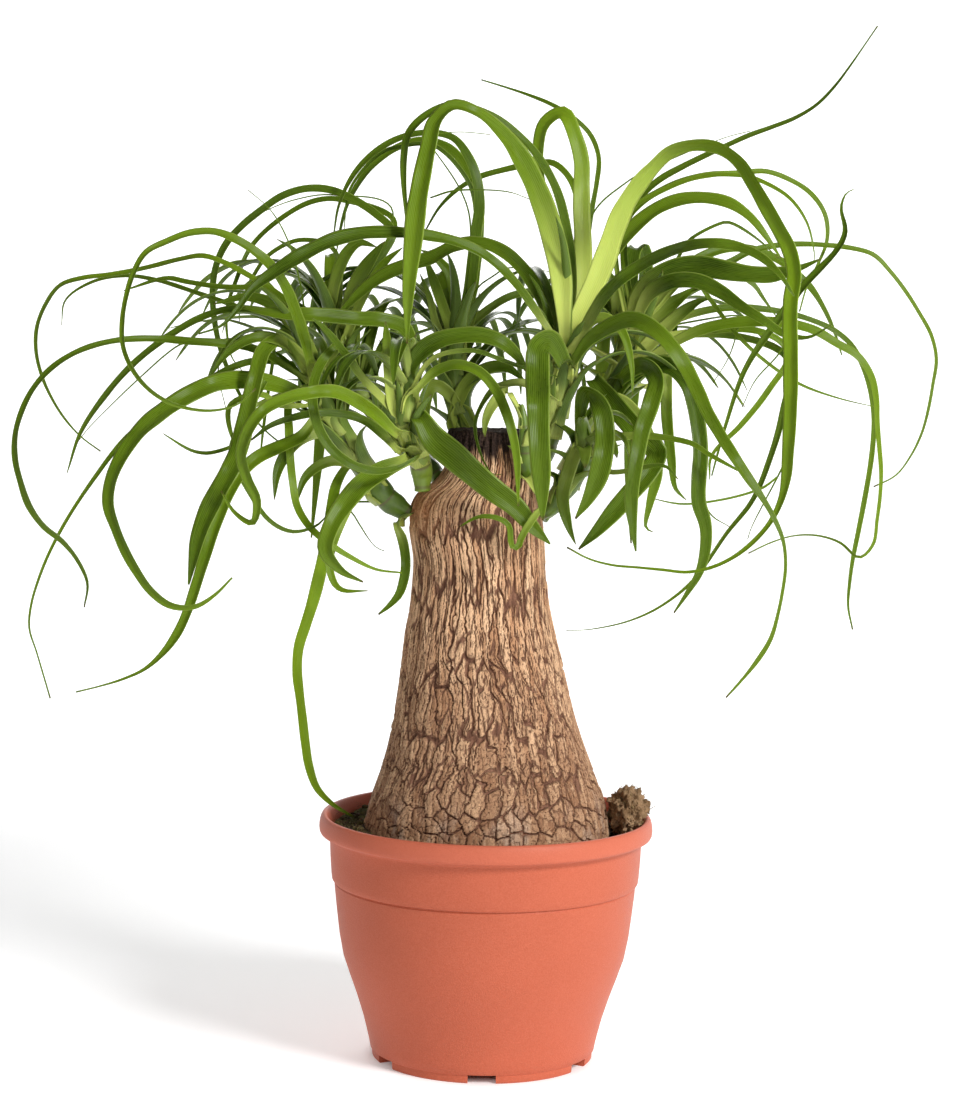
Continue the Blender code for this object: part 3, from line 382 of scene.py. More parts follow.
def soil_material(name, dark, light, green):
    """Crumbly potting soil: dark crumbs, some bark and fibre, and moss where it is marked."""
    material, tree, shader = new_material(name)
    where = position(tree)
    speckle = place_group(tree, SPECKLE, {"Vector": where, "Grain": 700.0, "Drift": 90.0})
    clod = blend_colour(tree, remap(tree, speckle["Unevenness"], 0.35, 0.65), dark, light)
    bits = blend_colour(tree, maths(tree, "MULTIPLY", speckle["Speckle"], 0.55), clod, (0.012, 0.007, 0.005))
    tone = blend_colour(tree, mark(tree, "pale"), bits, (0.30, 0.17, 0.09))
    mossy = blend_colour(tree, maths(tree, "MULTIPLY", mark(tree, "moss"), 0.8), tone, green)
    tree.links.new(mossy, shader.inputs["Base Color"])
    shader.inputs["Roughness"].default_value = 0.95
    shader.inputs["Specular IOR Level"].default_value = 0.2
    bump(tree, shader, speckle["Height"], 0.8, 0.0009)
    return material


def bark_material():
    material, tree, shader = new_material("cracked_bark")
    bark = place_group(tree, BARK, {"Plate": mark(tree, "plate"), "Hue": mark(tree, "hue"),
                                    "Rise": mark(tree, "rise"), "Flank": mark(tree, "flank"),
                                    "Vector": position(tree)})
    speckle = place_group(tree, SPECKLE, {"Vector": position(tree), "Grain": 900.0, "Drift": 120.0})
    sawn = blend_colour(tree, speckle["Speckle"], (0.018, 0.011, 0.009), (0.075, 0.045, 0.033))
    colour = blend_colour(tree, mark(tree, "sawn"), bark["Colour"], sawn)
    tree.links.new(colour, shader.inputs["Base Color"])
    tree.links.new(bark["Roughness"], shader.inputs["Roughness"])
    shader.inputs["Specular IOR Level"].default_value = 0.12
    bump(tree, shader, bark["Height"], 1.0, 0.0008)
    return material


DEEP = (0.022, 0.046, 0.001)
FULL = (0.135, 0.212, 0.005)
YOUNG = (0.70, 0.77, 0.190)


def leaf_material():
    """Waxy strap leaf: fine veins along it, paler at its young base, at its margins and underneath."""
    material, tree, shader = new_material("strap_leaf")
    cross = node(tree, "ShaderNodeSeparateXYZ", {0: node(tree, "ShaderNodeUVMap", uv_map="blade").outputs[0]})
    veins = place_group(tree, VEINS, {"Across": cross.outputs[0], "Length": cross.outputs[1], "Veins": 13.0})
    green = blend_colour(tree, mark(tree, "tone"), DEEP, FULL)
    streaked = blend_colour(tree, maths(tree, "MULTIPLY", remap(tree, veins["Streak"], 0.3, 0.7), 0.35),
                            green, (0.140, 0.230, 0.008))
    young = blend_colour(tree, mark(tree, "young"), streaked, YOUNG)
    shown = maths(tree, "MULTIPLY_ADD", mark(tree, "young"), 0.25, 0.20)
    lined = blend_colour(tree, maths(tree, "MULTIPLY", veins["Lines"], shown), young, (0.30, 0.42, 0.07))
    under = blend_colour(tree, maths(tree, "MULTIPLY", mark(tree, "under"), 0.30),
                         lined, (0.200, 0.290, 0.090))
    rimmed = blend_colour(tree, maths(tree, "MULTIPLY", veins["Margin"], 0.50), under, (0.34, 0.44, 0.09))
    dry = blend_colour(tree, mark(tree, "dry"), rimmed, (0.085, 0.050, 0.022))
    tree.links.new(dry, shader.inputs["Base Color"])
    tree.links.new(remap(tree, veins["Streak"], 0.3, 0.7, 0.24, 0.36), shader.inputs["Roughness"])
    shader.inputs["Specular IOR Level"].default_value = 0.12
    shader.inputs["Subsurface Weight"].default_value = 0.10
    shader.inputs["Subsurface Radius"].default_value = (0.6, 1.0, 0.15)
    shader.inputs["Subsurface Scale"].default_value = 0.002
    bump(tree, shader, veins["Height"], 0.25, 0.0002)
    return material


def shoot_material():
    """Fleshy green stem, smooth and waxy, with scars in a ring where old leaves sat."""
    material, tree, shader = new_material("fleshy_shoot")
    where = position(tree)
    drift = noise_value(tree, where, 160.0, 4.0, 0.6)
    green = blend_colour(tree, remap(tree, drift, 0.3, 0.7), (0.035, 0.080, 0.004), (0.105, 0.185, 0.012))
    pale = blend_colour(tree, maths(tree, "MULTIPLY", mark(tree, "young"), 0.55), green, (0.36, 0.48, 0.06))
    scar = blend_colour(tree, mark(tree, "scar"), pale, (0.11, 0.075, 0.028))
    tree.links.new(scar, shader.inputs["Base Color"])
    shader.inputs["Roughness"].default_value = 0.38
    shader.inputs["Subsurface Weight"].default_value = 0.2
    shader.inputs["Subsurface Radius"].default_value = (0.7, 1.0, 0.2)
    shader.inputs["Subsurface Scale"].default_value = 0.003
    bump(tree, shader, drift, 0.25, 0.0005)
    return material


LEAF = leaf_material()


# ---------------------------------------------------------------- pot and soil

def arc_block(turn, inner, outer, width, bottom, top):
    """A box along a radius of the pot, for a cutter."""
    out = np.array((math.cos(turn), math.sin(turn), 0.0))
    side = np.array((-math.sin(turn), math.cos(turn), 0.0)) * width / 2
    corners = [out * r + side * s + np.array((0.0, 0.0, z)) for z in (bottom, top)
               for r, s in ((inner, -1), (outer, -1), (outer, 1), (inner, 1))]
    return np.array(corners) * MM, ring_faces(2, 4), {}


def turned(radius, height, sides):
    turns = np.linspace(0.0, math.tau, sides, endpoint=False)
    return np.stack([radius * np.cos(turns), radius * np.sin(turns), np.full(sides, height)], -1) * MM


def cut(piece, parts):
    """Cuts closed bodies out of a piece, and applies the cut."""
    vertices, faces, _ = merge_meshes(parts)
    cutter = new_piece("cutter", vertices, faces, piece.data.materials[0], smooth=False)
    modifier = piece.modifiers.new("cut", "BOOLEAN")
    modifier.object = cutter
    modifier.operation = "DIFFERENCE"
    modifier.solver = "EXACT"
    evaluated = piece.evaluated_get(bpy.context.evaluated_depsgraph_get())
    mesh = bpy.data.meshes.new_from_object(evaluated)
    piece.modifiers.clear()
    piece.data = mesh
    bpy.data.objects.remove(cutter)


def make_pot():
    """The pot, turned from its profile, with its notched ring foot and drain holes."""
    rings = [turned(max(r, 0.05), z, POT_SIDES) for r, z in POT_PROFILE]
    edge = np.concatenate([np.full(POT_SIDES, float(LIP_BOTTOM < z and r > 79.9)) for r, z in POT_PROFILE])
    pot = new_piece("moulded_pot", np.vstack(rings), ring_faces(len(rings), POT_SIDES),
                    plastic_material(), {"edge": edge})
    notches = [arc_block(math.tau * (k + 0.5) / FOOT_NOTCHES, 44.0, 60.0, NOTCH_WIDTH, -1.0, NOTCH_TOP)
               for k in range(FOOT_NOTCHES)]
    drains = []
    for k in range(DRAIN_HOLES):
        turn = math.tau * k / DRAIN_HOLES
        centre = np.array((math.cos(turn), math.sin(turn), 0.0)) * DRAIN_CIRCLE * MM
        ends = [turned(DRAIN_RADIUS, z, 24) + centre for z in (-1.0, 9.0)]
        drains.append((np.vstack(ends), ring_faces(2, 24), {}))
    cut(pot, notches + drains)
    pot.data.shade_smooth()
    pot.data.set_sharp_from_angle(angle=math.radians(38))
    settle_piece(pot, "pot_plastic", "pot")


def soil_height(x, y):
    """Height of the soil's bumpy surface, in metres: it banks up at the trunk, and towards the left rim."""
    spot = Vector((x, y, 0.0))
    coarse = noise.noise(spot * 60.0) * 1.5 + noise.noise(spot * 150.0) * 1.0
    fine = noise.noise(spot * 420.0) * 0.55
    bank = 1.6 * max(0.0, 1.0 - (math.hypot(x, y) - 0.0625) / 0.006)
    shore = 4.5 * float(ease(0.030, 0.066, -x)) * float(ease(0.0, 0.0765, math.hypot(x, y)))
    return (SOIL_TOP + coarse + fine + bank + shore) * MM


def make_soil():
    """The soil that fills the pot; its top is a fine grid of clods."""
    below = [(0.05, 8.0), (49.0, 8.0), (54.0, 10.5), (58.4, 22.5), (62.2, 33.5), (69.2, 53.0),
             (72.8, 75.5), (75.0, 90.0), (76.9, 108.0)]
    rings = [turned(r, z, SOIL_SIDES) for r, z in below]
    for r in np.linspace(SOIL_EDGE, POCKET_RADIUS, 34):
        ring = turned(r, SOIL_TOP, SOIL_SIDES)
        ring[:, 2] = [soil_height(x, y) for x, y in ring[:, :2]]
        rings.append(ring)
    rings += [turned(POCKET_RADIUS, 100.0, SOIL_SIDES), turned(0.05, 100.0, SOIL_SIDES)]
    vertices = np.vstack(rings)
    moss = [0.9 * ease(0.1, 0.35, noise.noise(Vector(v) * 70.0) + (0.25 if v[0] < -0.03 else -0.1))
            for v in vertices]
    material = soil_material("potting_soil", (0.026, 0.014, 0.008),
                             (0.105, 0.060, 0.034), (0.110, 0.115, 0.03))
    soil = new_piece("potting_soil", vertices, ring_faces(len(rings), SOIL_SIDES), material,
                     {"pale": np.zeros(len(vertices)), "moss": moss})
    settle_piece(soil, "soil", "soil")
    return material


def crumb(rng, centre, size, flat=0.7):
    """One crumb of soil or bark: a few-sided lump, turned at random."""
    builder = bmesh.new()
    bmesh.ops.create_icosphere(builder, subdivisions=1, radius=1.0)
    shape = Vector((rng.uniform(0.6, 1.5), rng.uniform(0.5, 1.0), rng.uniform(0.35, flat)))
    spin = Matrix.Rotation(rng.uniform(0, math.tau), 3, "Z") @ Matrix.Rotation(rng.uniform(-0.6, 0.6), 3, "X")
    offset = Vector((rng.uniform(0, 50), 0.0, 0.0))
    points = []
    for v in builder.verts:
        lump = 1.0 + 0.5 * noise.noise(v.co * 1.3 + offset)
        points.append(centre + spin @ Vector([a * b * size * lump for a, b in zip(v.co, shape)]))
    faces = [tuple(v.index for v in f.verts) for f in builder.faces]
    builder.free()
    return np.array(points), faces


def make_crumbs(material):
    """Loose crumbs, bark chips and moss strands that lie on the soil between trunk and rim."""
    rng = random.Random(11)
    parts = []
    for _ in range(CRUMBS):
        turn = rng.uniform(0.0, math.tau)
        reach = rng.uniform(0.0640, 0.0765)
        x, y = reach * math.cos(turn), reach * math.sin(turn)
        size = rng.choice((0.5, 0.7, 0.9, 1.2, 1.7)) * MM
        points, faces = crumb(rng, Vector((x, y, soil_height(x, y) + 0.3 * size)), size)
        pale = rng.uniform(0.3, 0.9) if rng.random() < 0.13 else rng.uniform(0.0, 0.12)
        moss = rng.uniform(0.4, 1.0) if x < -0.02 and rng.random() < 0.4 else 0.0
        parts.append((points, faces, {"pale": pale, "moss": moss}))
    for _ in range(MOSS_STRANDS):
        turn = math.radians(rng.gauss(190.0, 38.0))
        reach = rng.uniform(0.0645, 0.0760)
        parts.append(moss_strand(rng, reach * math.cos(turn), reach * math.sin(turn)))
    vertices, faces, marks = merge_meshes(parts)
    settle_piece(new_piece("soil_crumbs", vertices, faces, material, marks), "soil")


def moss_strand(rng, x, y, base=None, rise=1.0):
    """A short, curved strand of moss or root fibre."""
    heading = rng.uniform(0.0, math.tau)
    start = Vector((x, y, soil_height(x, y))) if base is None else Vector(base)
    step = rng.uniform(0.9, 1.7) * MM
    radius = rng.uniform(0.12, 0.28) * MM
    points = []
    for k in range(6):
        climb = (0.9 - 0.34 * k) * rise
        points.append(start)
        start = start + Vector((math.cos(heading), math.sin(heading), climb)) * step
        heading += rng.uniform(-0.5, 0.5)
    rings = []
    for k, point in enumerate(points):
        size = radius * (1.0 - 0.13 * k)
        rings += [tuple(point + Vector(c) * size) for c in
                  ((1.0, 0.0, 0.0), (-0.5, 0.87, 0.0), (-0.4, -0.6, 0.7))]
    return np.array(rings), ring_faces(6, 3), {"pale": rng.uniform(0.1, 0.7), "moss": rng.uniform(0.3, 1.0)}


def make_clump():
    """The mossy clod against the rim: a rough lump, with crumbs and strands standing out of it."""
    rng = random.Random(5)
    low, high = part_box("soil_clump")
    centre = (low + high) / 2
    half = Vector(((high.x - low.x) * 0.62, (high.y - low.y) * 0.56, (high.z - low.z) * 0.52))
    centre.x += 0.0012
    builder = bmesh.new()
    bmesh.ops.create_icosphere(builder, subdivisions=5, radius=1.0)
    for v in builder.verts:
        rough = (0.30 * noise.noise(v.co * 2.2) + 0.26 * noise.noise(v.co * 5.0)
                 + 0.16 * noise.noise(v.co * 12.0))
        v.co = centre + Vector([a * b * (1.02 + rough) for a, b in zip(v.co, half)])
        reach = math.hypot(v.co.x, v.co.y)
        if v.co.z < 0.1262 and reach > 0.0796:
            v.co.x *= 0.0796 / reach
            v.co.y *= 0.0796 / reach
    vertices = np.array([v.co for v in builder.verts])
    faces = [tuple(v.index for v in f.verts) for f in builder.faces]
    builder.free()
    parts = [(vertices, faces, {"pale": 0.03, "moss": 0.25})]
    for _ in range(CLOD_BITS):
        spot = Vector(vertices[rng.randrange(len(vertices))])
        if spot.z < 0.116:
            continue
        if rng.random() < 0.35:
            parts.append(moss_strand(rng, 0.0, 0.0, spot, 0.6))
        else:
            points, crumb_faces = crumb(rng, spot, rng.choice((0.6, 0.9, 1.3)) * MM, 1.0)
            parts.append((points, crumb_faces, {"pale": rng.random() ** 3 * 0.8, "moss": rng.random() * 0.6}))
    vertices, faces, marks = merge_meshes(parts)
    material = soil_material("mossy_peat", (0.190, 0.095, 0.052), (0.600, 0.380, 0.225), (0.22, 0.17, 0.055))
    settle_piece(new_piece("mossy_clod", vertices, faces, material, marks), "moss", "soil_clump")


# ---------------------------------------------------------------- trunk

def outline_at(heights):
    """Smoothly read centre, half width and half depth of the trunk, in metres."""
    table = np.array(TRUNK_OUTLINE)
    columns = []
    for k in (1, 2, 3):
        slopes = np.gradient(table[:, k], table[:, 0])
        i = np.clip(np.searchsorted(table[:, 0], heights) - 1, 0, len(table) - 2)
        span = table[i + 1, 0] - table[i, 0]
        t = np.clip((heights - table[i, 0]) / span, 0.0, 1.0)
        columns.append((2 * t ** 3 - 3 * t ** 2 + 1) * table[i, k]
                       + (t ** 3 - 2 * t ** 2 + t) * span * slopes[i]
                       + (3 * t ** 2 - 2 * t ** 3) * table[i + 1, k]
                       + (t ** 3 - t ** 2) * span * slopes[i + 1])
    left, right, depth = columns
    return (left + right) / 2 * CM, (right - left) / 2 * CM, depth * CM


def scatter(row, column, seed):
    """A repeatable random value from 0 to 1 for each whole-numbered cell."""
    mixed = np.sin(row * 127.1 + column * 311.7 + seed * 74.7) * 43758.5453
    return mixed - np.floor(mixed)


def drift_noise(across, along, around, seed):
    """Smooth noise from 0 to 1 on the unrolled bark; it closes on itself after 'around' cells."""
    row, column = np.floor(along), np.floor(across)
    u, v = across - column, along - row
    u, v = u * u * (3.0 - 2.0 * u), v * v * (3.0 - 2.0 * v)
    near, far = np.mod(column, around), np.mod(column + 1, around)
    low = scatter(row, near, seed) * (1 - u) + scatter(row, far, seed) * u
    high = scatter(row + 1, near, seed) * (1 - u) + scatter(row + 1, far, seed) * u
    return low * (1 - v) + high * v


def bark_cells(across, along, around, seed):
    """Distance to the edge of the nearest bark cell, and a random value for that cell."""
    row, column = np.floor(along), np.floor(across)
    first = np.full(across.shape, 9.0)
    second = np.full(across.shape, 9.0)
    value = np.zeros(across.shape)
    for i in (-1, 0, 1):
        for j in (-1, 0, 1):
            r, c = row + i, column + j
            wrapped = np.mod(c, around)
            du = c + 0.1 + 0.8 * scatter(r, wrapped, seed) - across
            dv = r + 0.1 + 0.8 * scatter(r, wrapped, seed + 5) - along
            far = np.sqrt(du * du + dv * dv)
            second = np.where(far < first, first, np.minimum(second, far))
            value = np.where(far < first, scatter(r, wrapped, seed + 9), value)
            first = np.minimum(first, far)
    return second - first, value


def bark_relief(turn, rise, along, fine_along):
    """Height of the bark in millimetres over the unrolled trunk, and the marks that colour it."""
    around = turn / math.tau
    bend = (drift_noise(around * 22, along * 1.1, 22, 3) - 0.5
            + 0.5 * (drift_noise(around * 60, along * 4, 60, 4) - 0.5))
    low = 1.0 - ease(0.05, 0.22, rise)
    shake = drift_noise(around * 130, fine_along * 6.0, 130, 8) - 0.5
    wander = (1.05 * bend + 0.18 * shake) * (1.0 - 0.8 * low)
    broad, hue = bark_cells(around * 50 + wander, along + 0.3 * bend, 50, 1)
    narrow, tint = bark_cells(around * 120 + 1.6 * wander, along * (1.4 + 0.7 * low) + 0.5 * bend, 120, 2)
    hair, _ = bark_cells(around * 230 + 2.0 * wander, along * 5.0 + bend, 230, 6)
    patch = drift_noise(around * 14 + 3, along * 0.9, 14, 12) + 0.30 * ease(0.50, 0.72, rise)
    middle = ease(0.05, 0.22, rise) * (1.0 - ease(0.42, 0.66, rise))
    open_wide = ease(0.25, 0.75, patch) * (1.0 - 0.65 * low) * (1.0 - 0.65 * middle)
    crack = 1.0 - ease(0.02, 0.10 + 0.15 * open_wide - 0.045 * low, broad)
    split = (1.0 - ease(0.03, 0.14 + 0.12 * open_wide, narrow)) * (0.80 - 0.30 * low)
    thread = (1.0 - ease(0.02, 0.24, hair)) * (0.30 + 0.26 * middle)
    gap = np.maximum(np.maximum(crack, split), thread)
    high = 0.85 - 1.25 * crack - 0.55 * split - 0.22 * thread + 0.65 * (hue - 0.5) + 0.35 * (tint - 0.5)
    high = high + 0.9 * (drift_noise(around * 9, along * 0.8, 9, 20) - 0.5) + 0.35 * low * (hue - 0.3)
    shade = 0.55 * hue + 0.45 * tint
    return high - 0.55, 1.0 - gap, shade


def make_trunk():
    """The trunk: one fine skin, its bark ridged in long cords above and cracked in plates below."""
    heights = np.linspace(TRUNK_FOOT, TRUNK_TOP - 0.15, TRUNK_ROWS)
    turns = np.linspace(0.0, math.tau, TRUNK_COLUMNS, endpoint=False)
    centre, half_width, half_depth = outline_at(heights)
    rise = (heights - TRUNK_FOOT) / (TRUNK_TOP - TRUNK_FOOT)
    step = heights[1] - heights[0]
    tall = 0.95 + 2.1 * ease(0.10, 0.34, rise) + 1.2 * ease(0.40, 0.75, rise)
    along = np.cumsum(step / tall)
    fine_along = np.cumsum(np.full(TRUNK_ROWS, step))
    turn = np.broadcast_to(turns[None], (TRUNK_ROWS, TRUNK_COLUMNS))
    level = np.broadcast_to(rise[:, None], turn.shape)
    high, plate, hue = bark_relief(turn, level, along[:, None] + 0 * turn, fine_along[:, None] + 0 * turn)
    push = (high * (np.minimum(1.0, (TRUNK_TOP - heights) / 0.5) * 0.6 + 0.4)[:, None]) * MM
    out_x, out_y = np.cos(turn), np.sin(turn)
    skin = np.stack([centre[:, None] + (half_width[:, None] + push) * out_x,
                     (half_depth[:, None] + push) * out_y, heights[:, None] * CM + 0 * turn], -1)
    near_shoulder = np.maximum(0.0, 1.0 - np.abs(heights - 28.3) / 1.9)[:, None]
    flank = np.clip(np.maximum(0.0, -out_x - 0.35) * near_shoulder * 2.2, 0.0, 1.0)
    sawn = ease(-0.35, 0.25, heights[:, None] - 31.2 + 0.7 * hue - 0.3 * plate)
    rows = [skin.reshape(-1, 3)]
    shares = ((0.985, 0.05), (0.94, 0.10), (0.80, 0.10), (0.6, 0.07), (0.4, 0.10), (0.2, 0.06), (0.02, 0.06))
    for share, lift in shares:
        x = half_width[-1] * share * np.cos(turns)
        y = half_depth[-1] * share * np.sin(turns)
        rough = [0.05 * noise.noise(Vector((a, b, 0.0)) * 420.0)
                 + 0.08 * noise.noise(Vector((a, b, 2.0)) * 130.0) for a, b in zip(x, y)]
        rows.append(np.stack([centre[-1] + x, y, (heights[-1] + lift + np.array(rough)) * CM], -1))
    cap = TRUNK_COLUMNS * len(shares)
    ends = {"plate": (plate, 0.5), "hue": (hue, 0.5), "rise": (level, 1.0), "flank": (flank, 0.0),
            "sawn": (sawn, 1.0)}
    marks = {key: np.concatenate([value.ravel(), np.full(cap, end)]) for key, (value, end) in ends.items()}
    faces = ring_faces(TRUNK_ROWS + len(shares), TRUNK_COLUMNS)
    trunk = new_piece("barked_trunk", np.vstack(rows), faces, bark_material(), marks)
    settle_piece(trunk, "bark", "trunk")


# ---------------------------------------------------------------- shoots

LINE_SPACING = 0.0008


def shoot_line(name):
    """Centre and radius along a shoot, from its foot to its tip, in metres."""
    rows = np.array(SHOOTS[name])
    centres = place(rows[:, 0], rows[:, 1], rows[:, 2] * CM)
    return curve_through(np.column_stack([centres, rows[:, 3] * MM]), LINE_SPACING)


LINES = {name: shoot_line(name) for name in SHOOTS}


def make_shoot(name, material):
    """A fleshy stem with the ring scars of fallen leaves."""
    line = LINES[name]
    rng = random.Random(name)
    along = unit(np.gradient(line[:, :3], axis=0))
    side = unit(np.cross(along, (0.1, 1.0, 0.2)))
    other = np.cross(side, along)
    turns = np.linspace(0.0, math.tau, 40, endpoint=False)
    pitch = rng.uniform(12.0, 16.0)
    vertices, scars, young = [], [], []
    for i, row in enumerate(line):
        phase = (i * 0.8 / pitch + 0.35) % 1.0
        scar = math.exp(-((phase - 0.5) * 26.0) ** 2)
        swell = 1.0 + 0.06 * math.cos(math.tau * phase) - 0.05 * scar
        share = i / (len(line) - 1)
        for turn in turns:
            lump = 1.0 + 0.05 * noise.noise(Vector((math.cos(turn), math.sin(turn), i * 0.12)) * 1.3)
            spoke = math.cos(turn) * other[i] + math.sin(turn) * side[i]
            vertices.append(row[:3] + row[3] * swell * lump * spoke)
        scars += [scar * (1.0 - 0.5 * share)] * len(turns)
        young += [YOUTH[name] * (0.9 if name == "shoot_front_left" else 0.15 + 0.3 * share)] * len(turns)
    for closing in (0.75, 0.35):
        tip = line[-1, :3] + along[-1] * line[-1, 3] * (1.0 - closing)
        ring = vertices[-len(turns):] if closing == 0.75 else vertices[-2 * len(turns):-len(turns)]
        vertices += [tip + (np.array(v) - line[-1, :3]) * closing for v in ring]
        scars += [0.0] * len(turns)
        young += [YOUTH[name]] * len(turns)
    faces = ring_faces(len(line) + 2, len(turns))
    piece = new_piece(name + "_stem", np.array(vertices), faces, material, {"scar": scars, "young": young})
    settle_piece(piece, "shoot", name)


# ---------------------------------------------------------------- leaves

def read_rings(item):
    """Reads the stations of a CAD blade, in order: each is its left edge, keel and right edge."""
    places = np.round(np.array([v.co for v in item.data.vertices]), 6)
    points, index = np.unique(places, axis=0, return_inverse=True)
    index = index.ravel()
    item.data.calc_loop_triangles()
    triangles = [[int(index[v]) for v in t.vertices] for t in item.data.loop_triangles]
    beside = [set() for _ in points]
    for triangle in triangles:
        for v in triangle:
            beside[v].update(triangle)
    for triangle in triangles:
        rings, seen = [set(triangle)], set(triangle)
        while len(rings[-1]) == 3 and len(seen) < len(points):
            rings.append(set().union(*(beside[v] for v in rings[-1])) - seen)
            seen |= rings[-1]
        if len(seen) == len(points) and all(len(ring) == 3 for ring in rings):
            return np.array([[points[v] for v in sorted(ring)] for ring in rings])
    raise ValueError("the blade " + item.name + " has no end ring")


ORDERS = ((0, 1, 2), (0, 2, 1), (1, 0, 2), (1, 2, 0), (2, 0, 1), (2, 1, 0))


def read_blade(name):
    """Station rows of a CAD leaf from base to tip: place, across, half width and facing."""
    rings = read_rings(NODES[name])
    first = max(ORDERS, key=lambda order: np.linalg.norm(rings[0][order[0]] - rings[0][order[2]]))
    kept = [rings[0][list(first)]]
    for ring in rings[1:]:
        last = kept[-1] - kept[-1].mean(0)
        kept.append(min((ring[list(order)] for order in ORDERS),
                        key=lambda points: np.abs(points - points.mean(0) - last).sum()))
    kept = np.array(kept)
    widths = np.linalg.norm(kept[:, 2] - kept[:, 0], axis=1)
    if widths[-1] > widths[0]:
        kept, widths = kept[::-1], widths[::-1]
    centres = (kept[:, 0] + kept[:, 2]) / 2
    across = unit(kept[:, 2] - kept[:, 0])
    return np.column_stack([centres, across, widths / 2, unit(centres - kept[:, 1])])


def nearest_shoot(point):
    """The shoot that a leaf grows from, the nearest place on its line, and how far it is."""
    found = []
    for name, line in LINES.items():
        reach = np.linalg.norm(line[:, :3] - point, axis=1)
        found.append((reach.min(), name, int(reach.argmin())))
    return min(found)


def rooted(rows):
    """Adds the sheath that joins a leaf to its shoot, and says how young that shoot is."""
    reach, name, at = nearest_shoot(rows[0, :3])
    line = LINES[name]
    if reach > 0.036:
        return rows, 0.0
    low = max(0, at - 14)
    mid = max(1, at - 5)
    outward = rows[0, :3] - line[at, :3]
    axis = unit(line[min(at + 1, len(line) - 1), :3] - line[max(at - 3, 0), :3])
    outward = unit(outward - axis * (outward @ axis))
    across = np.cross(axis, outward)
    across *= 1.0 if across @ rows[0, 3:6] >= 0 else -1.0
    facing = -outward if -outward @ rows[0, 7:10] > -0.5 else outward
    roots = []
    for i, share in ((low, 0.70), (mid, 1.02)):
        roots.append(np.concatenate([line[i, :3] + outward * line[i, 3] * share, across,
                                     [max(line[i, 3] * 1.05, rows[0, 6] * 0.9)], facing]))
    return np.vstack(roots + [rows]), YOUTH[name]


def drawn_blade(width, turn, depth, route):
    """Station rows of a leaf drawn in the front elevation: route in cm, width in mm."""
    route = np.array(route, float)
    steps = np.concatenate([[0.0], np.cumsum(np.linalg.norm(np.diff(route, axis=0), axis=1))])
    share = steps / steps[-1]
    spots = [np.interp(share, np.linspace(0.0, 1.0, len(v)), v) if len(v) > 1 else np.full(len(route), v[0])
             for v in (width, turn, depth)]
    centres = place(route[:, 0], route[:, 1], spots[2] * CM)
    rows = curve_through(np.column_stack([centres, spots[0] * MM / 2, np.radians(spots[1])]), 0.004)
    along = unit(np.gradient(rows[:, :3], axis=0))
    flat = np.cross(along, unit(rows[:, :3] - EYE))
    for i in range(1, len(flat)):
        steady = flat[i - 1] - along[i] * (flat[i - 1] @ along[i])
        flat[i] = unit(flat[i] + 0.25 * unit(steady))
    flat = unit(flat)
    angle = rows[:, 4] * (-1.0 if flat[:, 2].sum() > 0 else 1.0)
    across = np.cos(angle)[:, None] * flat + np.sin(angle)[:, None] * np.cross(along, flat)
    share = np.linspace(0.0, 1.0, len(rows))
    half = rows[:, 3] * (0.72 + 0.28 * np.minimum(share / 0.12, 1.0))
    half *= np.sqrt(np.clip((1.0 - share) / 0.25, 0.0, 1.0))
    return np.column_stack([rows[:, :3], across, np.maximum(half, 0.00022), np.cross(along, across)])


TOP_POINTS = 9
FINE_STEP = 0.0026


def blade_mesh(rows, youth, tone, seed, reach=0.075):
    """The fine skin of a leaf: a shallow channel with thin edges and a keel, closed all round."""
    fine = curve_through(rows, FINE_STEP)
    count = len(fine)
    rng = random.Random(seed)
    share = np.linspace(0.0, 1.0, count)
    length = np.concatenate([[0.0], np.cumsum(np.linalg.norm(np.diff(fine[:, :3], axis=0), axis=1))])
    along = unit(np.gradient(fine[:, :3], axis=0))
    across = unit(fine[:, 3:6] - along * (fine[:, 3:6] * along).sum(1)[:, None])
    facing = np.cross(along, across)
    facing *= np.where((facing * fine[:, 7:10]).sum(1) < 0, -1.0, 1.0)[:, None]
    half = np.maximum(fine[:, 6], 0.0002)
    fold = 0.24 + 0.45 * (1.0 - ease(0.0, 0.030, length)) + rng.uniform(0.0, 0.22)
    u = np.linspace(-1.0, 1.0, TOP_POINTS)
    ripple = 0.05 * np.sin(length * rng.uniform(240.0, 330.0) + rng.uniform(0.0, 6.0))
    lift = fold[:, None] * (np.abs(u)[None] ** 1.2 - 0.45) + ripple[:, None] * u[None]
    thick = np.minimum(0.00016 + 0.00042 * (1.0 - u[None] ** 2), half[:, None] * 0.5)
    top = fine[:, None, :3] + across[:, None] * (u[None, :, None] * half[:, None, None])
    top = top + facing[:, None] * (lift * half[:, None])[..., None]
    below = top[:, 1:-1][:, ::-1] - facing[:, None] * thick[:, 1:-1, None]
    skin = np.concatenate([top, below], axis=1)
    sides = skin.shape[1]
    handed = (np.cross(across[0], facing[0]) @ along[0]) > 0
    if handed:
        skin = skin[:, ::-1]
    aside = np.concatenate([u, u[1:-1][::-1]])
    under = np.concatenate([np.zeros(len(u)), np.ones(len(u) - 2)])
    if handed:
        aside, under = aside[::-1], under[::-1]
    young = youth * (1.0 - ease(0.0, reach, length))
    tones = np.clip(tone + 0.12 * np.sin(length * 31.0 + rng.uniform(0.0, 6.0)), 0.0, 1.0)
    dry = ease(0.985, 1.0, share) * (0.9 if rng.random() < 0.6 else 0.2)
    marks = {"young": np.repeat(young, sides), "tone": np.repeat(tones, sides),
             "under": np.tile(under, count), "dry": np.repeat(dry, sides),
             "aside": np.tile(aside, count), "length": np.repeat(length, sides)}
    return skin.reshape(-1, 3), ring_faces(count, sides), marks


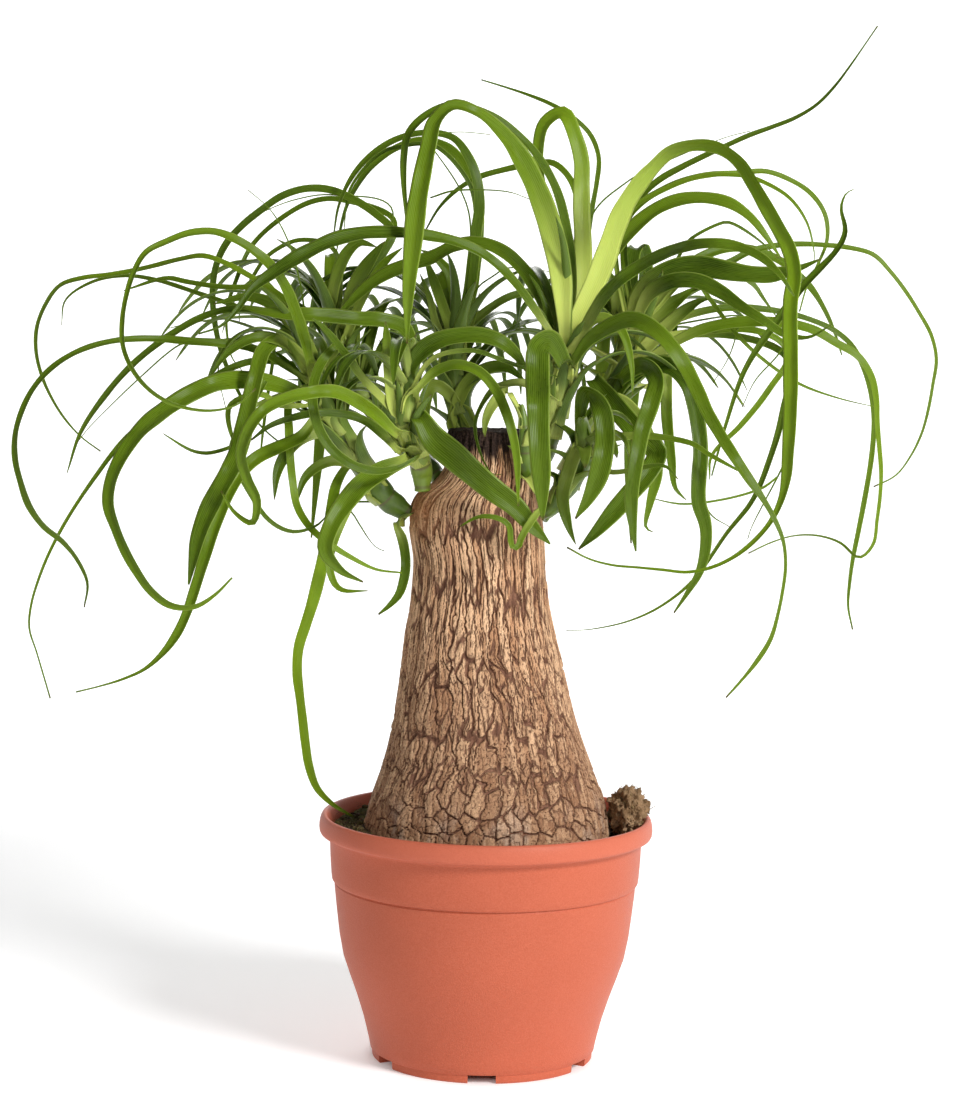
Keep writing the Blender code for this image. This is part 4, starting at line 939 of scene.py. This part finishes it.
def leaf_piece(name, parts):
    """Makes one leaf object of one or more skins, with its map of across and along."""
    vertices, faces, marks = merge_meshes(parts)
    aside, length = marks.pop("aside"), marks.pop("length")
    piece = new_piece(name, vertices, faces, LEAF, marks)
    chart = piece.data.uv_layers.new(name="blade")
    corners = np.zeros(len(piece.data.loops), np.int32)
    piece.data.loops.foreach_get("vertex_index", corners)
    placed = np.column_stack([aside[corners] * 0.5 + 0.5, length[corners] * 10.0])
    chart.data.foreach_set("uv", placed.ravel())
    return piece


TONES = {"leaf_right_01": 0.95, "leaf_centre_01": 0.2, "leaf_left_10": 0.95, "leaf_left_13": 0.9,
         "leaf_front_02": 0.25, "leaf_front_05": 0.20, "leaf_right_12": 0.1, "leaf_right_11": 0.4,
         "leaf_left_01": 0.4, "leaf_left_02": 0.5, "leaf_front_01": 0.35, "leaf_front_03": 0.15,
         "leaf_left_12": 0.35, "leaf_right_08": 0.7, "leaf_centre_02": 0.6, "leaf_centre_04": 0.95,
         "leaf_centre_07": 0.1, "leaf_centre_08": 0.35, "leaf_right_06": 0.15, "leaf_right_07": 0.15,
         "leaf_left_07": 0.3, "leaf_left_16": 0.45, "leaf_right_14": 0.1, "leaf_right_13": 0.25}

YOUNG_REACH = {"leaf_right_01": 0.16, "leaf_centre_04": 0.13, "leaf_centre_02": 0.11, "leaf_right_04": 0.10,
               "leaf_front_01": 0.012, "leaf_front_02": 0.012, "leaf_front_03": 0.012, "leaf_front_05": 0.012,
               "leaf_right_11": 0.03, "leaf_right_12": 0.012, "leaf_right_13": 0.012, "leaf_right_14": 0.012}
WIDER = {"leaf_centre_04": 1.30, "leaf_right_01": 1.12, "leaf_left_07": 1.1, "leaf_left_02": 1.1}


def make_leaves():
    """Each CAD leaf gets a fine skin on its own stations."""
    for name in sorted(n for n in NODES if n.startswith("leaf_")):
        rows, youth = rooted(read_blade(name))
        tone = TONES.get(name, random.Random(name).uniform(0.1, 0.75))
        rows[:, 6] *= WIDER.get(name, 1.0)
        reach = YOUNG_REACH.get(name, 0.06 if youth > 0.8 else 0.032)
        skin = blade_mesh(rows, youth, tone, name, reach)
        piece = leaf_piece(name.replace("leaf", "blade"), [skin])
        settle_piece(piece, "leaf", name)


# Thin, short and half-hidden leaves: width in mm, turn in degrees, depth in cm, route in cm.
FINE_LEAVES = [
    ((4, 4, 3), (30,), (-1, -1, -1, 0), [
        (-9.4, 35.9), (-10.8, 37.6), (-12.9, 38.0), (-14.7, 37.55), (-16.55, 36.45), (-18.2, 35.1),
        (-19.55, 33.55), (-20.8, 31.65), (-21.5, 29.55)]),
    ((4, 3, 2), (40,), (-1, 2, 6, 8), [
        (-9.4, 36.5), (-11.0, 37.3), (-13.0, 38.1), (-15.0, 38.75), (-17.0, 39.35), (-18.7, 39.55),
        (-20.3, 39.2), (-21.6, 38.3), (-21.8, 37.0)]),
    ((4, 3, 2), (20,), (5, 9, 9, 6), [
        (-7.3, 37.9), (-5.9, 40.6), (-5.2, 42.6), (-7.6, 43.5), (-9.3, 43.4), (-11.0, 42.4), (-12.3, 41.1),
        (-13.0, 39.5), (-13.5, 37.8), (-13.3, 35.8), (-12.7, 34.9)]),
    ((5, 4), (30,), (-2.5, -4, -5, -6), [
        (-4.8, 32.7), (-5.6, 33.6), (-6.6, 34.6), (-7.5, 35.8), (-8.4, 36.9), (-9.2, 37.6)]),
    ((6, 7, 4), (10, 20), (5, 4, 4), [(-8.3, 37.9), (-8.1, 39.3), (-7.6, 40.7), (-6.9, 41.4),
        (-6.0, 41.2)]),
    ((5, 4, 3), (20,), (4, 5, 6, 7), [
        (-1.6, 37.0), (-0.7, 37.9), (0.75, 38.85), (2.5, 39.2), (3.4, 38.8), (4.6, 37.0)]),
    ((5, 6, 3), (0, 10), (2, 1, 1), [
        (7.7, 36.0), (8.6, 35.9), (8.75, 33.0), (9.05, 30.7), (9.25, 29.4), (9.85, 28.75)]),
    ((4, 4, 2, 1.2), (20,), (3, 2, 4, 4), [
        (8.1, 37.0), (12.0, 37.1), (14.8, 36.0), (14.6, 33.2), (14.0, 30.85), (13.2, 28.8), (11.9, 27.05),
        (10.4, 24.8), (8.8, 23.4), (7.1, 22.55), (5.25, 22.1), (3.9, 22.0)]),
    ((3, 2.6), (20,), (-2, -1, 1), [
        (-9.2, 36.3), (-11.5, 39.3), (-12.5, 39.1), (-14, 39.1), (-15.5, 39.3), (-16.7, 39.45),
        (-18.7, 38.8)]),
    ((3, 2), (20,), (5, 6, 6), [
        (-7.8, 37.4), (-8, 40.8), (-9.7, 41.5), (-11.3, 40.8), (-12.2, 39.6), (-12.8, 38.2),
        (-12.85, 37.3)]),
    ((2, 2), (20,), (-3, -5, -6), [
        (-9.5, 34.2), (-11.9, 33.2), (-12.5, 32.2), (-13, 31.2), (-13.9, 30.8), (-14.6, 30.7),
        (-15.4, 30.9), (-16.65, 31.65)]),
    ((3, 2), (10,), (-6, -6, -5), [
        (-11.5, 34.4), (-13.1, 31.4), (-13, 30.2), (-12.3, 28.8), (-11.3, 27.4), (-10.1, 26.8),
        (-8.9, 27.1), (-8.2, 27.8)]),
    ((3, 3, 2), (10,), (-4, -6, -6), [
        (-9.4, 33.2), (-10.8, 33.2), (-11.6, 33.7), (-12.5, 33.6), (-13.3, 33.1), (-13.35, 32.3),
        (-13.1, 31.4), (-12.7, 30.6)]),
    ((2, 1.5), (10,), (-2, -3), [(-9.4, 35.9), (-10.8, 37), (-11.2, 35), (-11.6, 31.9), (-11.75, 30.2)]),
    ((6, 5, 2), (10,), (-2.4, -4, -5), [
        (-6.4, 29.6), (-7.2, 28.3), (-8.05, 26.2), (-8.15, 24.9), (-7.6, 23.9), (-6.2, 23.85)]),
    ((3, 2), (20,), (5, 6, 6), [
        (-1.6, 37.2), (-1.0, 41), (-1.2, 44), (-3, 46.2), (-5, 46.2), (-6.2, 45.6), (-7.4, 44),
        (-7.65, 42)]),
    ((5, 5), (10,), (-3, -3.6), [(-4.7, 32.6), (-5.1, 33.2), (-5.3, 34.7), (-5.5, 37.5)]),
    ((2.5, 2), (0,), (-3.4, -5, -5, -3), [
        (-4.1, 34.2), (-3.4, 35.4), (-2.5, 35.95), (-1, 36.1), (0.3, 35.7), (1.5, 35.3), (3.3, 34.85)]),
    ((4, 3, 2), (10,), (-5, -6, -6), [
        (2.6, 28.4), (1.8, 27.2), (1.5, 26.6), (1.3, 26.1), (1.0, 26.4), (0.9, 27.3), (0.2, 27.7),
        (-0.7, 27.7), (-1.6, 27.2)]),
    ((5, 5, 2, 0.8), (20, 60, 20), (-1.6, -3.4, -3.6), [
        (3.0, 34.0), (1.5, 34.5), (0.55, 34.4), (-0.15, 34), (-0.85, 32.7), (-0.75, 31.35), (-0.1, 30),
        (0.5, 29.9)]),
    ((6, 5, 2), (0,), (-2.8, -3.4), [(0.6, 34.2), (-0.1, 33.3), (-0.4, 32.5), (-0.4, 31.75)]),
    ((6, 8, 5), (10,), (5, 4, 3), [(-7.9, 37), (-7.6, 37.6), (-7, 39.4), (-6.2, 40.7), (-5.6, 41.5)]),
    ((6, 6, 3), (10,), (4.6, 3.6, 3), [(-7.4, 36.8), (-6.9, 38.3), (-5.7, 40.3), (-4.7, 41.2)]),
    ((6, 6, 3), (10,), (5, 5.4), [(-8.2, 33.2), (-8.35, 35), (-8.3, 37), (-8.0, 38.6)]),
    ((5, 6, 4), (10,), (4.2, 3.6), [(-2.1, 36), (-2.2, 37), (-2.9, 39), (-3.6, 40.8)]),
    ((6, 6, 4), (10,), (4.4, 4.6), [(-1.9, 36), (-1.9, 37), (-2.2, 39.6), (-3, 40.7), (-3.8, 41.1)]),
    ((4, 4, 2), (10,), (4.2, 3.4), [(-2.3, 36.2), (-3, 37.5), (-3.3, 38.7), (-3.8, 39.9)]),
    ((4, 3, 1), (10,), (4.2, 3.8), [(-1.7, 36.2), (-1.1, 37.7), (-0.8, 39)]),
    ((7, 7, 4), (0, 20), (3.2, 2.6), [(-2.0, 33.0), (-1.4, 34.4), (-0.4, 35.2), (0.6, 35.3), (1.6, 34.6)]),
    ((6, 7, 3), (0, 20), (3.2, 2.4), [(-1.8, 33.4), (-2.6, 34.2), (-3.2, 34.2), (-3.4, 33.2),
        (-3.2, 32.2)]),
    ((3, 2), (20,), (2, 2, 0), [
        (6.8, 37), (6.0, 41), (6.45, 43.05), (8.2, 44.25), (10.1, 45), (12, 45.1), (13.15, 44.85),
        (14.6, 44.05), (15.55, 42.8), (15.95, 41.35), (15.95, 40.8)]),
    ((4, 4, 2), (30,), (2, 1, 1), [
        (7.6, 38), (9.5, 40.2), (11.5, 40.4), (12.9, 39.7), (13.45, 39), (14.25, 37.95)]),
    ((2, 1.5), (10,), (3, 3), [
        (7.5, 38.6), (9, 40.7), (9.65, 41.8), (11, 42.6), (11.8, 42.7), (13.15, 41.9), (14.15, 41)]),
    ((1, 2, 3, 5, 5, 2), (10, 10, 10, 60, 0), (-1, -1, -2, -2), [
        (11.1, 30), (11.75, 32.6), (12.65, 35.4), (14.15, 37.8), (15.5, 39.65), (17, 41.3), (17.5, 42.4),
        (17.25, 43.5), (17.45, 44.25), (17.85, 44.5)]),
    ((3, 2, 0.8), (10,), (2, 1, 1), [
        (7.8, 38), (9.7, 40), (10.7, 39), (12.05, 37.3), (13.5, 35.95), (15.35, 34.75), (17.35, 34.05),
        (19.4, 33.6)]),
    ((7, 7, 3), (10, 20), (1.4, -1, -2), [
        (5.6, 34), (6.6, 33.6), (7.6, 32.4), (8.3, 30.4), (8.0, 28.6), (7.8, 27.4), (8.2, 27.1)]),
    ((5, 3, 2), (20,), (-1, -2, -3), [
        (5.2, 31.6), (6.4, 31.9), (8.05, 31.95), (9.95, 31.65), (11, 31.05), (13, 30)]),
    ((4, 3), (20,), (2, 2), [
        (8, 37), (12.8, 37.4), (14.8, 36.3), (13.85, 34.4), (12.5, 32.6), (11.1, 31.1), (11, 29.8)]),
    ((1.4, 1), (0,), (2, 2), [(14.4, 30), (13.6, 29.4), (11.85, 28.85), (9.7, 28.55), (7.9, 28.85)]),
    ((3, 2), (10,), (-1.4, -3, -4), [(4.5, 30.9), (6.0, 30.1), (8.5, 30.5), (9.4, 29.8)]),
    ((9, 10, 5), (10,), (2.5, 2.4), [(6.2, 35), (7.25, 37.4), (8.45, 38.9), (9.1, 39.6)]),
    ((9, 9, 4), (10,), (2.2, 1.8), [(6.6, 35.4), (8.05, 37.85), (9.6, 39.15), (10.2, 39.5)]),
    ((8, 8, 4), (20,), (1.9, 1.4), [(6.9, 35.6), (8.7, 37.55), (10.1, 38.7), (10.8, 38.9)]),
    ((7, 7, 3), (0,), (3.4, 4), [(6.4, 36.2), (6.2, 38), (5.9, 39.6), (5.4, 40.6)]),
    ((7, 7, 4), (0,), (3.6, 5), [(5.4, 34.0), (5.5, 37), (5.6, 38.6), (6.4, 40.4)]),
    ((8, 8, 4), (0,), (3.8, 4.4), [(8.0, 34.4), (8.5, 36), (8.8, 36.9), (9.2, 38)]),
    ((6, 5, 2), (20,), (-1.6, -3, -4), [
        (3.5, 35.6), (4.4, 37.2), (5.4, 37.9), (6.4, 37.2), (6.9, 35.6), (7.0, 34.0)]),
    ((7, 7, 3), (0, 15), (-2.4, -3.5, -4), [
        (4.4, 31.6), (3.9, 30.2), (3.6, 28.8), (3.9, 27.4), (4.3, 26.4)]),
    ((6, 6, 3), (20,), (-1, -2, -3), [(-6.0, 29.4), (-6.9, 30.2), (-8.2, 30.4), (-9.4, 29.6),
        (-9.9, 28.2)]),
    ((7, 7, 3), (10,), (-1.5, -3, -4), [
        (-7.4, 31.4), (-8.6, 31.9), (-9.9, 31.4), (-10.8, 30.0), (-11.0, 28.4)]),
    ((6, 6, 3), (30,), (-2.6, -5, -6), [
        (-9.0, 34.6), (-10.2, 36.1), (-11.8, 36.6), (-13.4, 35.8), (-14.4, 34.4)]),
    ((7, 7, 3), (20,), (-2.4, -3, -3), [
        (-8.9, 34.8), (-9.6, 36.6), (-10.8, 38.0), (-12.4, 38.6), (-14.2, 38.2)]),
]
HAIR_WIDTH = 0.9
HAIRS = [
    (-2, [(-9.4, 36.5), (-9.8, 39.2), (-10.4, 41.3), (-11.3, 42.9), (-12.5, 43.95)]),
    (-3, [(-9.6, 35.8), (-12.5, 36.5), (-15, 36.2), (-16, 36.05), (-18, 34.3), (-20.2, 32.1), (-21, 31.1)]),
    (-3, [(-10, 36), (-12.2, 36.9), (-13.5, 35.8), (-13.9, 34.8), (-13.5, 33)]),
    (0, [(-5.2, 28.4), (-7.3, 28.3), (-7, 27.75), (-6, 26.25), (-5.4, 25.9)]),
    (4, [(-1.6, 37.4), (-1.4, 43), (-3.6, 46.7), (-3, 46.9), (-1.8, 47), (-0.4, 46.9)]),
    (3, [(-3.35, 43.7), (-2, 44.1), (0.35, 44.1), (1.7, 43.7)]),
    (4, [(-2, 37), (-1, 39.1), (-0.2, 39.8), (0.8, 40.3), (3, 40.1)]),
    (6, [(-7, 38), (-5.2, 42.95), (-8, 43.75), (-10.1, 43.5), (-12, 42.7), (-13.3, 41.8)]),
    (2, [(8.1, 37.4), (12.1, 38.1), (12.2, 37.4), (11.8, 36), (11.05, 34.7)]),
    (0, [(15.2, 39.6), (14.6, 36.7), (13.2, 34.9), (12.55, 33.5)]),
    (2, [(15, 31.8), (14.75, 30.7), (13.3, 27.7), (13, 26.8)]),
    (1, [(10.4, 29.6), (11.05, 28.1), (12.05, 27.45)]),
    (2, [(3.9, 38), (4.6, 42.6), (6.4, 44.6), (8.6, 45.8), (11.2, 46.9), (12.6, 47.3)]),
]
FINE_TONES = (0.15, 0.7)


def make_fine_leaves():
    """The thin and half-hidden leaves, each a piece of its own, and the hair-thin ones together."""
    for k, (width, turn, depth, route) in enumerate(FINE_LEAVES):
        rows, youth = rooted(drawn_blade(width, turn, depth, route))
        tone = random.Random(k + 40).uniform(*FINE_TONES)
        piece = leaf_piece("small_blade_%02d" % (k + 1), [blade_mesh(rows, youth, tone, k, 0.06)])
        settle_piece(piece, "leaf")
    parts = []
    for k, (depth, route) in enumerate(HAIRS):
        rows = drawn_blade((HAIR_WIDTH * 1.3, HAIR_WIDTH, 0.5), (20,), (depth, depth), route)
        parts.append(blade_mesh(rows, 0.0, 0.25, k + 500))
    settle_piece(leaf_piece("hair_blades", parts), "leaf")


# Sheaths of each shoot: how many, and their shortest and longest reach in mm.
SHEATHS = {"shoot_left": (12, 30, 72), "shoot_front_left": (11, 26, 60), "shoot_back_left": (12, 34, 80),
           "shoot_back_centre": (12, 30, 76), "shoot_right_centre": (12, 36, 92), "shoot_right": (14, 30, 72),
           "shoot_low_right": (8, 16, 34), "bud_young": (3, 8, 14)}
GOLDEN_TURN = 2.39996
SHEATH_STATIONS = 12


def sheath_rows(name, k, count, low, high):
    """Station rows of one clasping leaf: up along the shoot, then leaning away from it."""
    line = LINES[name]
    rng = random.Random(name + str(k))
    start = int((0.26 + 0.68 * k / count) * (len(line) - 1))
    length = (low + (high - low) * rng.random()) * MM
    axis = unit(line[-1, :3] - line[-8, :3])
    turn = GOLDEN_TURN * k + rng.uniform(-0.3, 0.3)
    side = unit(np.cross(axis, (0.2, 1.0, 0.1)))
    out = math.cos(turn) * side + math.sin(turn) * np.cross(axis, side)
    lean = rng.uniform(0.15, 0.55) if YOUTH[name] > 0.4 else rng.uniform(0.45, 1.1)
    rows = []
    for step in range(SHEATH_STATIONS):
        share = step / (SHEATH_STATIONS - 1.0)
        ahead = start + share * length / LINE_SPACING
        inner = min(int(ahead), len(line) - 1)
        centre = line[inner, :3] + axis * max(0.0, ahead - inner) * LINE_SPACING
        radius = line[inner, 3] * (1.0 - 0.55 * ease(len(line), len(line) + 60.0, ahead))
        centre = centre + out * (radius * (0.92 + 0.12 * share) + lean * length * share ** 2.6)
        centre[2] -= (0.10 + 0.45 * max(0.0, lean - 0.4)) * length * share ** 3
        half = line[start, 3] * (1.12 - 0.35 * share) * math.sqrt(max(1.0 - share, 0.0)) + 0.0002
        rows.append(np.concatenate([centre, np.cross(axis, out), [half], -out]))
    return np.array(rows)


def make_sheaths():
    """The clasping leaf bases that wrap each shoot and open above it."""
    for name, (count, low, high) in SHEATHS.items():
        parts = []
        for k in range(count):
            tone = random.Random(name + str(k) + "tone").uniform(0.0, 0.45)
            rows = sheath_rows(name, k, count, low, high)
            reach = 0.03 if YOUTH[name] > 0.9 else 0.014
            parts.append(blade_mesh(rows, YOUTH[name], tone, name + str(k), reach))
        settle_piece(leaf_piece(name + "_sheaths", parts), "leaf")


# Arching leaves of each shoot: how many, the heading they spread about (degrees, 90 is the back), its
# spread, and their shortest and longest reach in mm.
ARCHES = {"shoot_left": (9, 130, 80, 60, 120), "shoot_front_left": (7, 215, 60, 50, 90),
          "shoot_back_left": (14, 110, 60, 90, 150), "shoot_back_centre": (16, 90, 75, 80, 150),
          "shoot_right_centre": (8, 60, 70, 70, 130), "shoot_right": (12, 60, 75, 80, 140),
          "shoot_low_right": (4, -35, 50, 30, 60)}


ARCH_STATIONS = 16


def arch_rows(name, k, count, heading, swing, low, high):
    """Station rows of a leaf that climbs from its shoot, bends over and hangs."""
    line = LINES[name]
    rng = random.Random(name + "arch" + str(k))
    at = int((0.55 + 0.42 * (k + 1) / count) * (len(line) - 1))
    turn = math.radians(heading + swing * (2.0 * (k + 0.5) / count - 1.0) + rng.uniform(-9.0, 9.0))
    length = rng.uniform(low, high) * MM
    rise_from, fall_to = math.radians(rng.uniform(48.0, 74.0)), math.radians(rng.uniform(-84.0, -45.0))
    sway = rng.uniform(-0.5, 0.5)
    width = rng.uniform(2.1, 3.9) * MM
    spot = line[at, :3].copy()
    rows = []
    for step in range(ARCH_STATIONS):
        share = step / (ARCH_STATIONS - 1.0)
        climb = rise_from + (fall_to - rise_from) * float(ease(0.0, 1.0, share))
        way = turn + sway * share
        ahead = np.array((math.cos(way) * math.cos(climb), math.sin(way) * math.cos(climb), math.sin(climb)))
        across = np.array((-math.sin(way), math.cos(way), 0.0))
        taper = math.sqrt(max(0.0, 1.0 - share) / 0.35 if share > 0.65 else 1.0)
        half = width * min(1.0, 0.75 + 2.0 * share) * taper
        rows.append(np.concatenate([spot, across, [max(half, 0.0003)], np.cross(ahead, across)]))
        spot = spot + ahead * length / (ARCH_STATIONS - 1.0)
    rows = np.array(rows)
    rows[:, 1] = np.where(rows[:, 1] > 0.09, 0.09 + 0.5 * (rows[:, 1] - 0.09), rows[:, 1])
    return rows


def make_arching_leaves():
    """The leaves that fill the crown between the long ones, mostly to the back."""
    for name, (count, heading, swing, low, high) in ARCHES.items():
        parts = []
        for k in range(count):
            rows = arch_rows(name, k, count, heading, swing, low, high)
            tone = random.Random(name + str(k)).uniform(0.0, 0.5)
            parts.append(blade_mesh(rows, 0.6 * YOUTH[name], tone, name + "arch" + str(k), 0.04))
        settle_piece(leaf_piece(name + "_arches", parts), "leaf")


# ---------------------------------------------------------------- studio

# The floor and its low wall in metres: how far out, and how high.
FLOOR_PROFILE = [
    (0.02, 0.0), (0.046, 0.0), (0.062, 0.0), (0.12, 0.0), (0.4, 0.0), (0.8, 0.0), (1.2, 0.0), (1.6, 0.0),
    (2.0, 0.0), (2.6, 0.0), (2.9, 0.04), (3.15, 0.16), (3.3, 0.4), (3.35, 0.8), (3.35, 1.5),
]
FLOOR_SIDES = 96
FLOOR_GLOW = 0.42
SKY_STRENGTH = 0.12
KEY_WATTS = 52.0
BACK_WATTS = 12.0


def make_camera():
    camera = bpy.data.objects.new("camera", bpy.data.cameras.new("camera"))
    bpy.context.scene.collection.objects.link(camera)
    camera.data.lens = LENS
    camera.data.sensor_width = 36.0
    turn = Matrix.Rotation(math.radians(90.0) - EYE_PITCH, 4, "X") @ Matrix.Rotation(EYE_ROLL, 4, "Z")
    camera.matrix_world = Matrix.Translation(Vector(EYE)) @ turn
    bpy.context.scene.camera = camera
    bpy.context.scene.view_settings.view_transform = "Standard"


def area_light(name, place_at, aim, size, power, colour=(1.0, 1.0, 1.0)):
    light = bpy.data.objects.new(name, bpy.data.lights.new(name, "AREA"))
    bpy.context.scene.collection.objects.link(light)
    light.data.shape = "DISK"
    light.data.size = size
    light.data.energy = power
    light.data.color = colour
    light.location = place_at
    light.rotation_euler = (Vector(aim) - Vector(place_at)).to_track_quat("-Z", "Y").to_euler()


def make_studio():
    """A pale round floor that curves up into a low wall, dimmer to the front left, with soft light on it."""
    rings = [turned(r / MM, z / MM, FLOOR_SIDES) for r, z in FLOOR_PROFILE]
    material, tree, shader = new_material("pale_floor")
    shader.inputs["Base Color"].default_value = (0.88, 0.88, 0.88, 1.0)
    shader.inputs["Roughness"].default_value = 0.9
    shader.inputs["Specular IOR Level"].default_value = 0.1
    shader.inputs["Emission Color"].default_value = (1.0, 1.0, 1.0, 1.0)
    glowing = maths(tree, "MULTIPLY", mark(tree, "glow"), FLOOR_GLOW)
    tree.links.new(glowing, shader.inputs["Emission Strength"])
    corners = np.vstack(rings)
    out = np.hypot(corners[:, 0], corners[:, 1])
    front_left = -(0.85 * corners[:, 0] + 0.53 * corners[:, 1]) / out
    glow = 1.0 - 0.95 * ease(0.9, 2.0, out) * ease(0.0, 0.7, front_left) + 0.7 * ease(0.6, 1.6, corners[:, 1])
    glow *= ease(0.046, 0.062, out)
    faces = [tuple(reversed(f)) for f in ring_faces(len(rings), FLOOR_SIDES, closed_ends=False)]
    faces.append(tuple(range(FLOOR_SIDES)))
    floor = new_piece("studio_floor", corners, faces, material, {"glow": glow})
    world = bpy.data.worlds.new("studio")
    bpy.context.scene.world = world
    world.use_nodes = True
    world.node_tree.nodes["Background"].inputs["Color"].default_value = (1.0, 1.0, 1.0, 1.0)
    world.node_tree.nodes["Background"].inputs["Strength"].default_value = SKY_STRENGTH
    area_light("key_light", (1.35, -1.45, 1.45), (0.0, 0.0, 0.25), 0.7, KEY_WATTS)
    area_light("back_light", (0.2, 1.7, 1.4), (0.0, 0.0, 0.3), 1.1, BACK_WATTS)


make_camera()
make_studio()
make_pot()
soil_look = make_soil()
make_crumbs(soil_look)
make_clump()
make_trunk()
stem_look = shoot_material()
for shoot in SHOOTS:
    make_shoot(shoot, stem_look)
make_leaves()
make_fine_leaves()
make_sheaths()
make_arching_leaves()
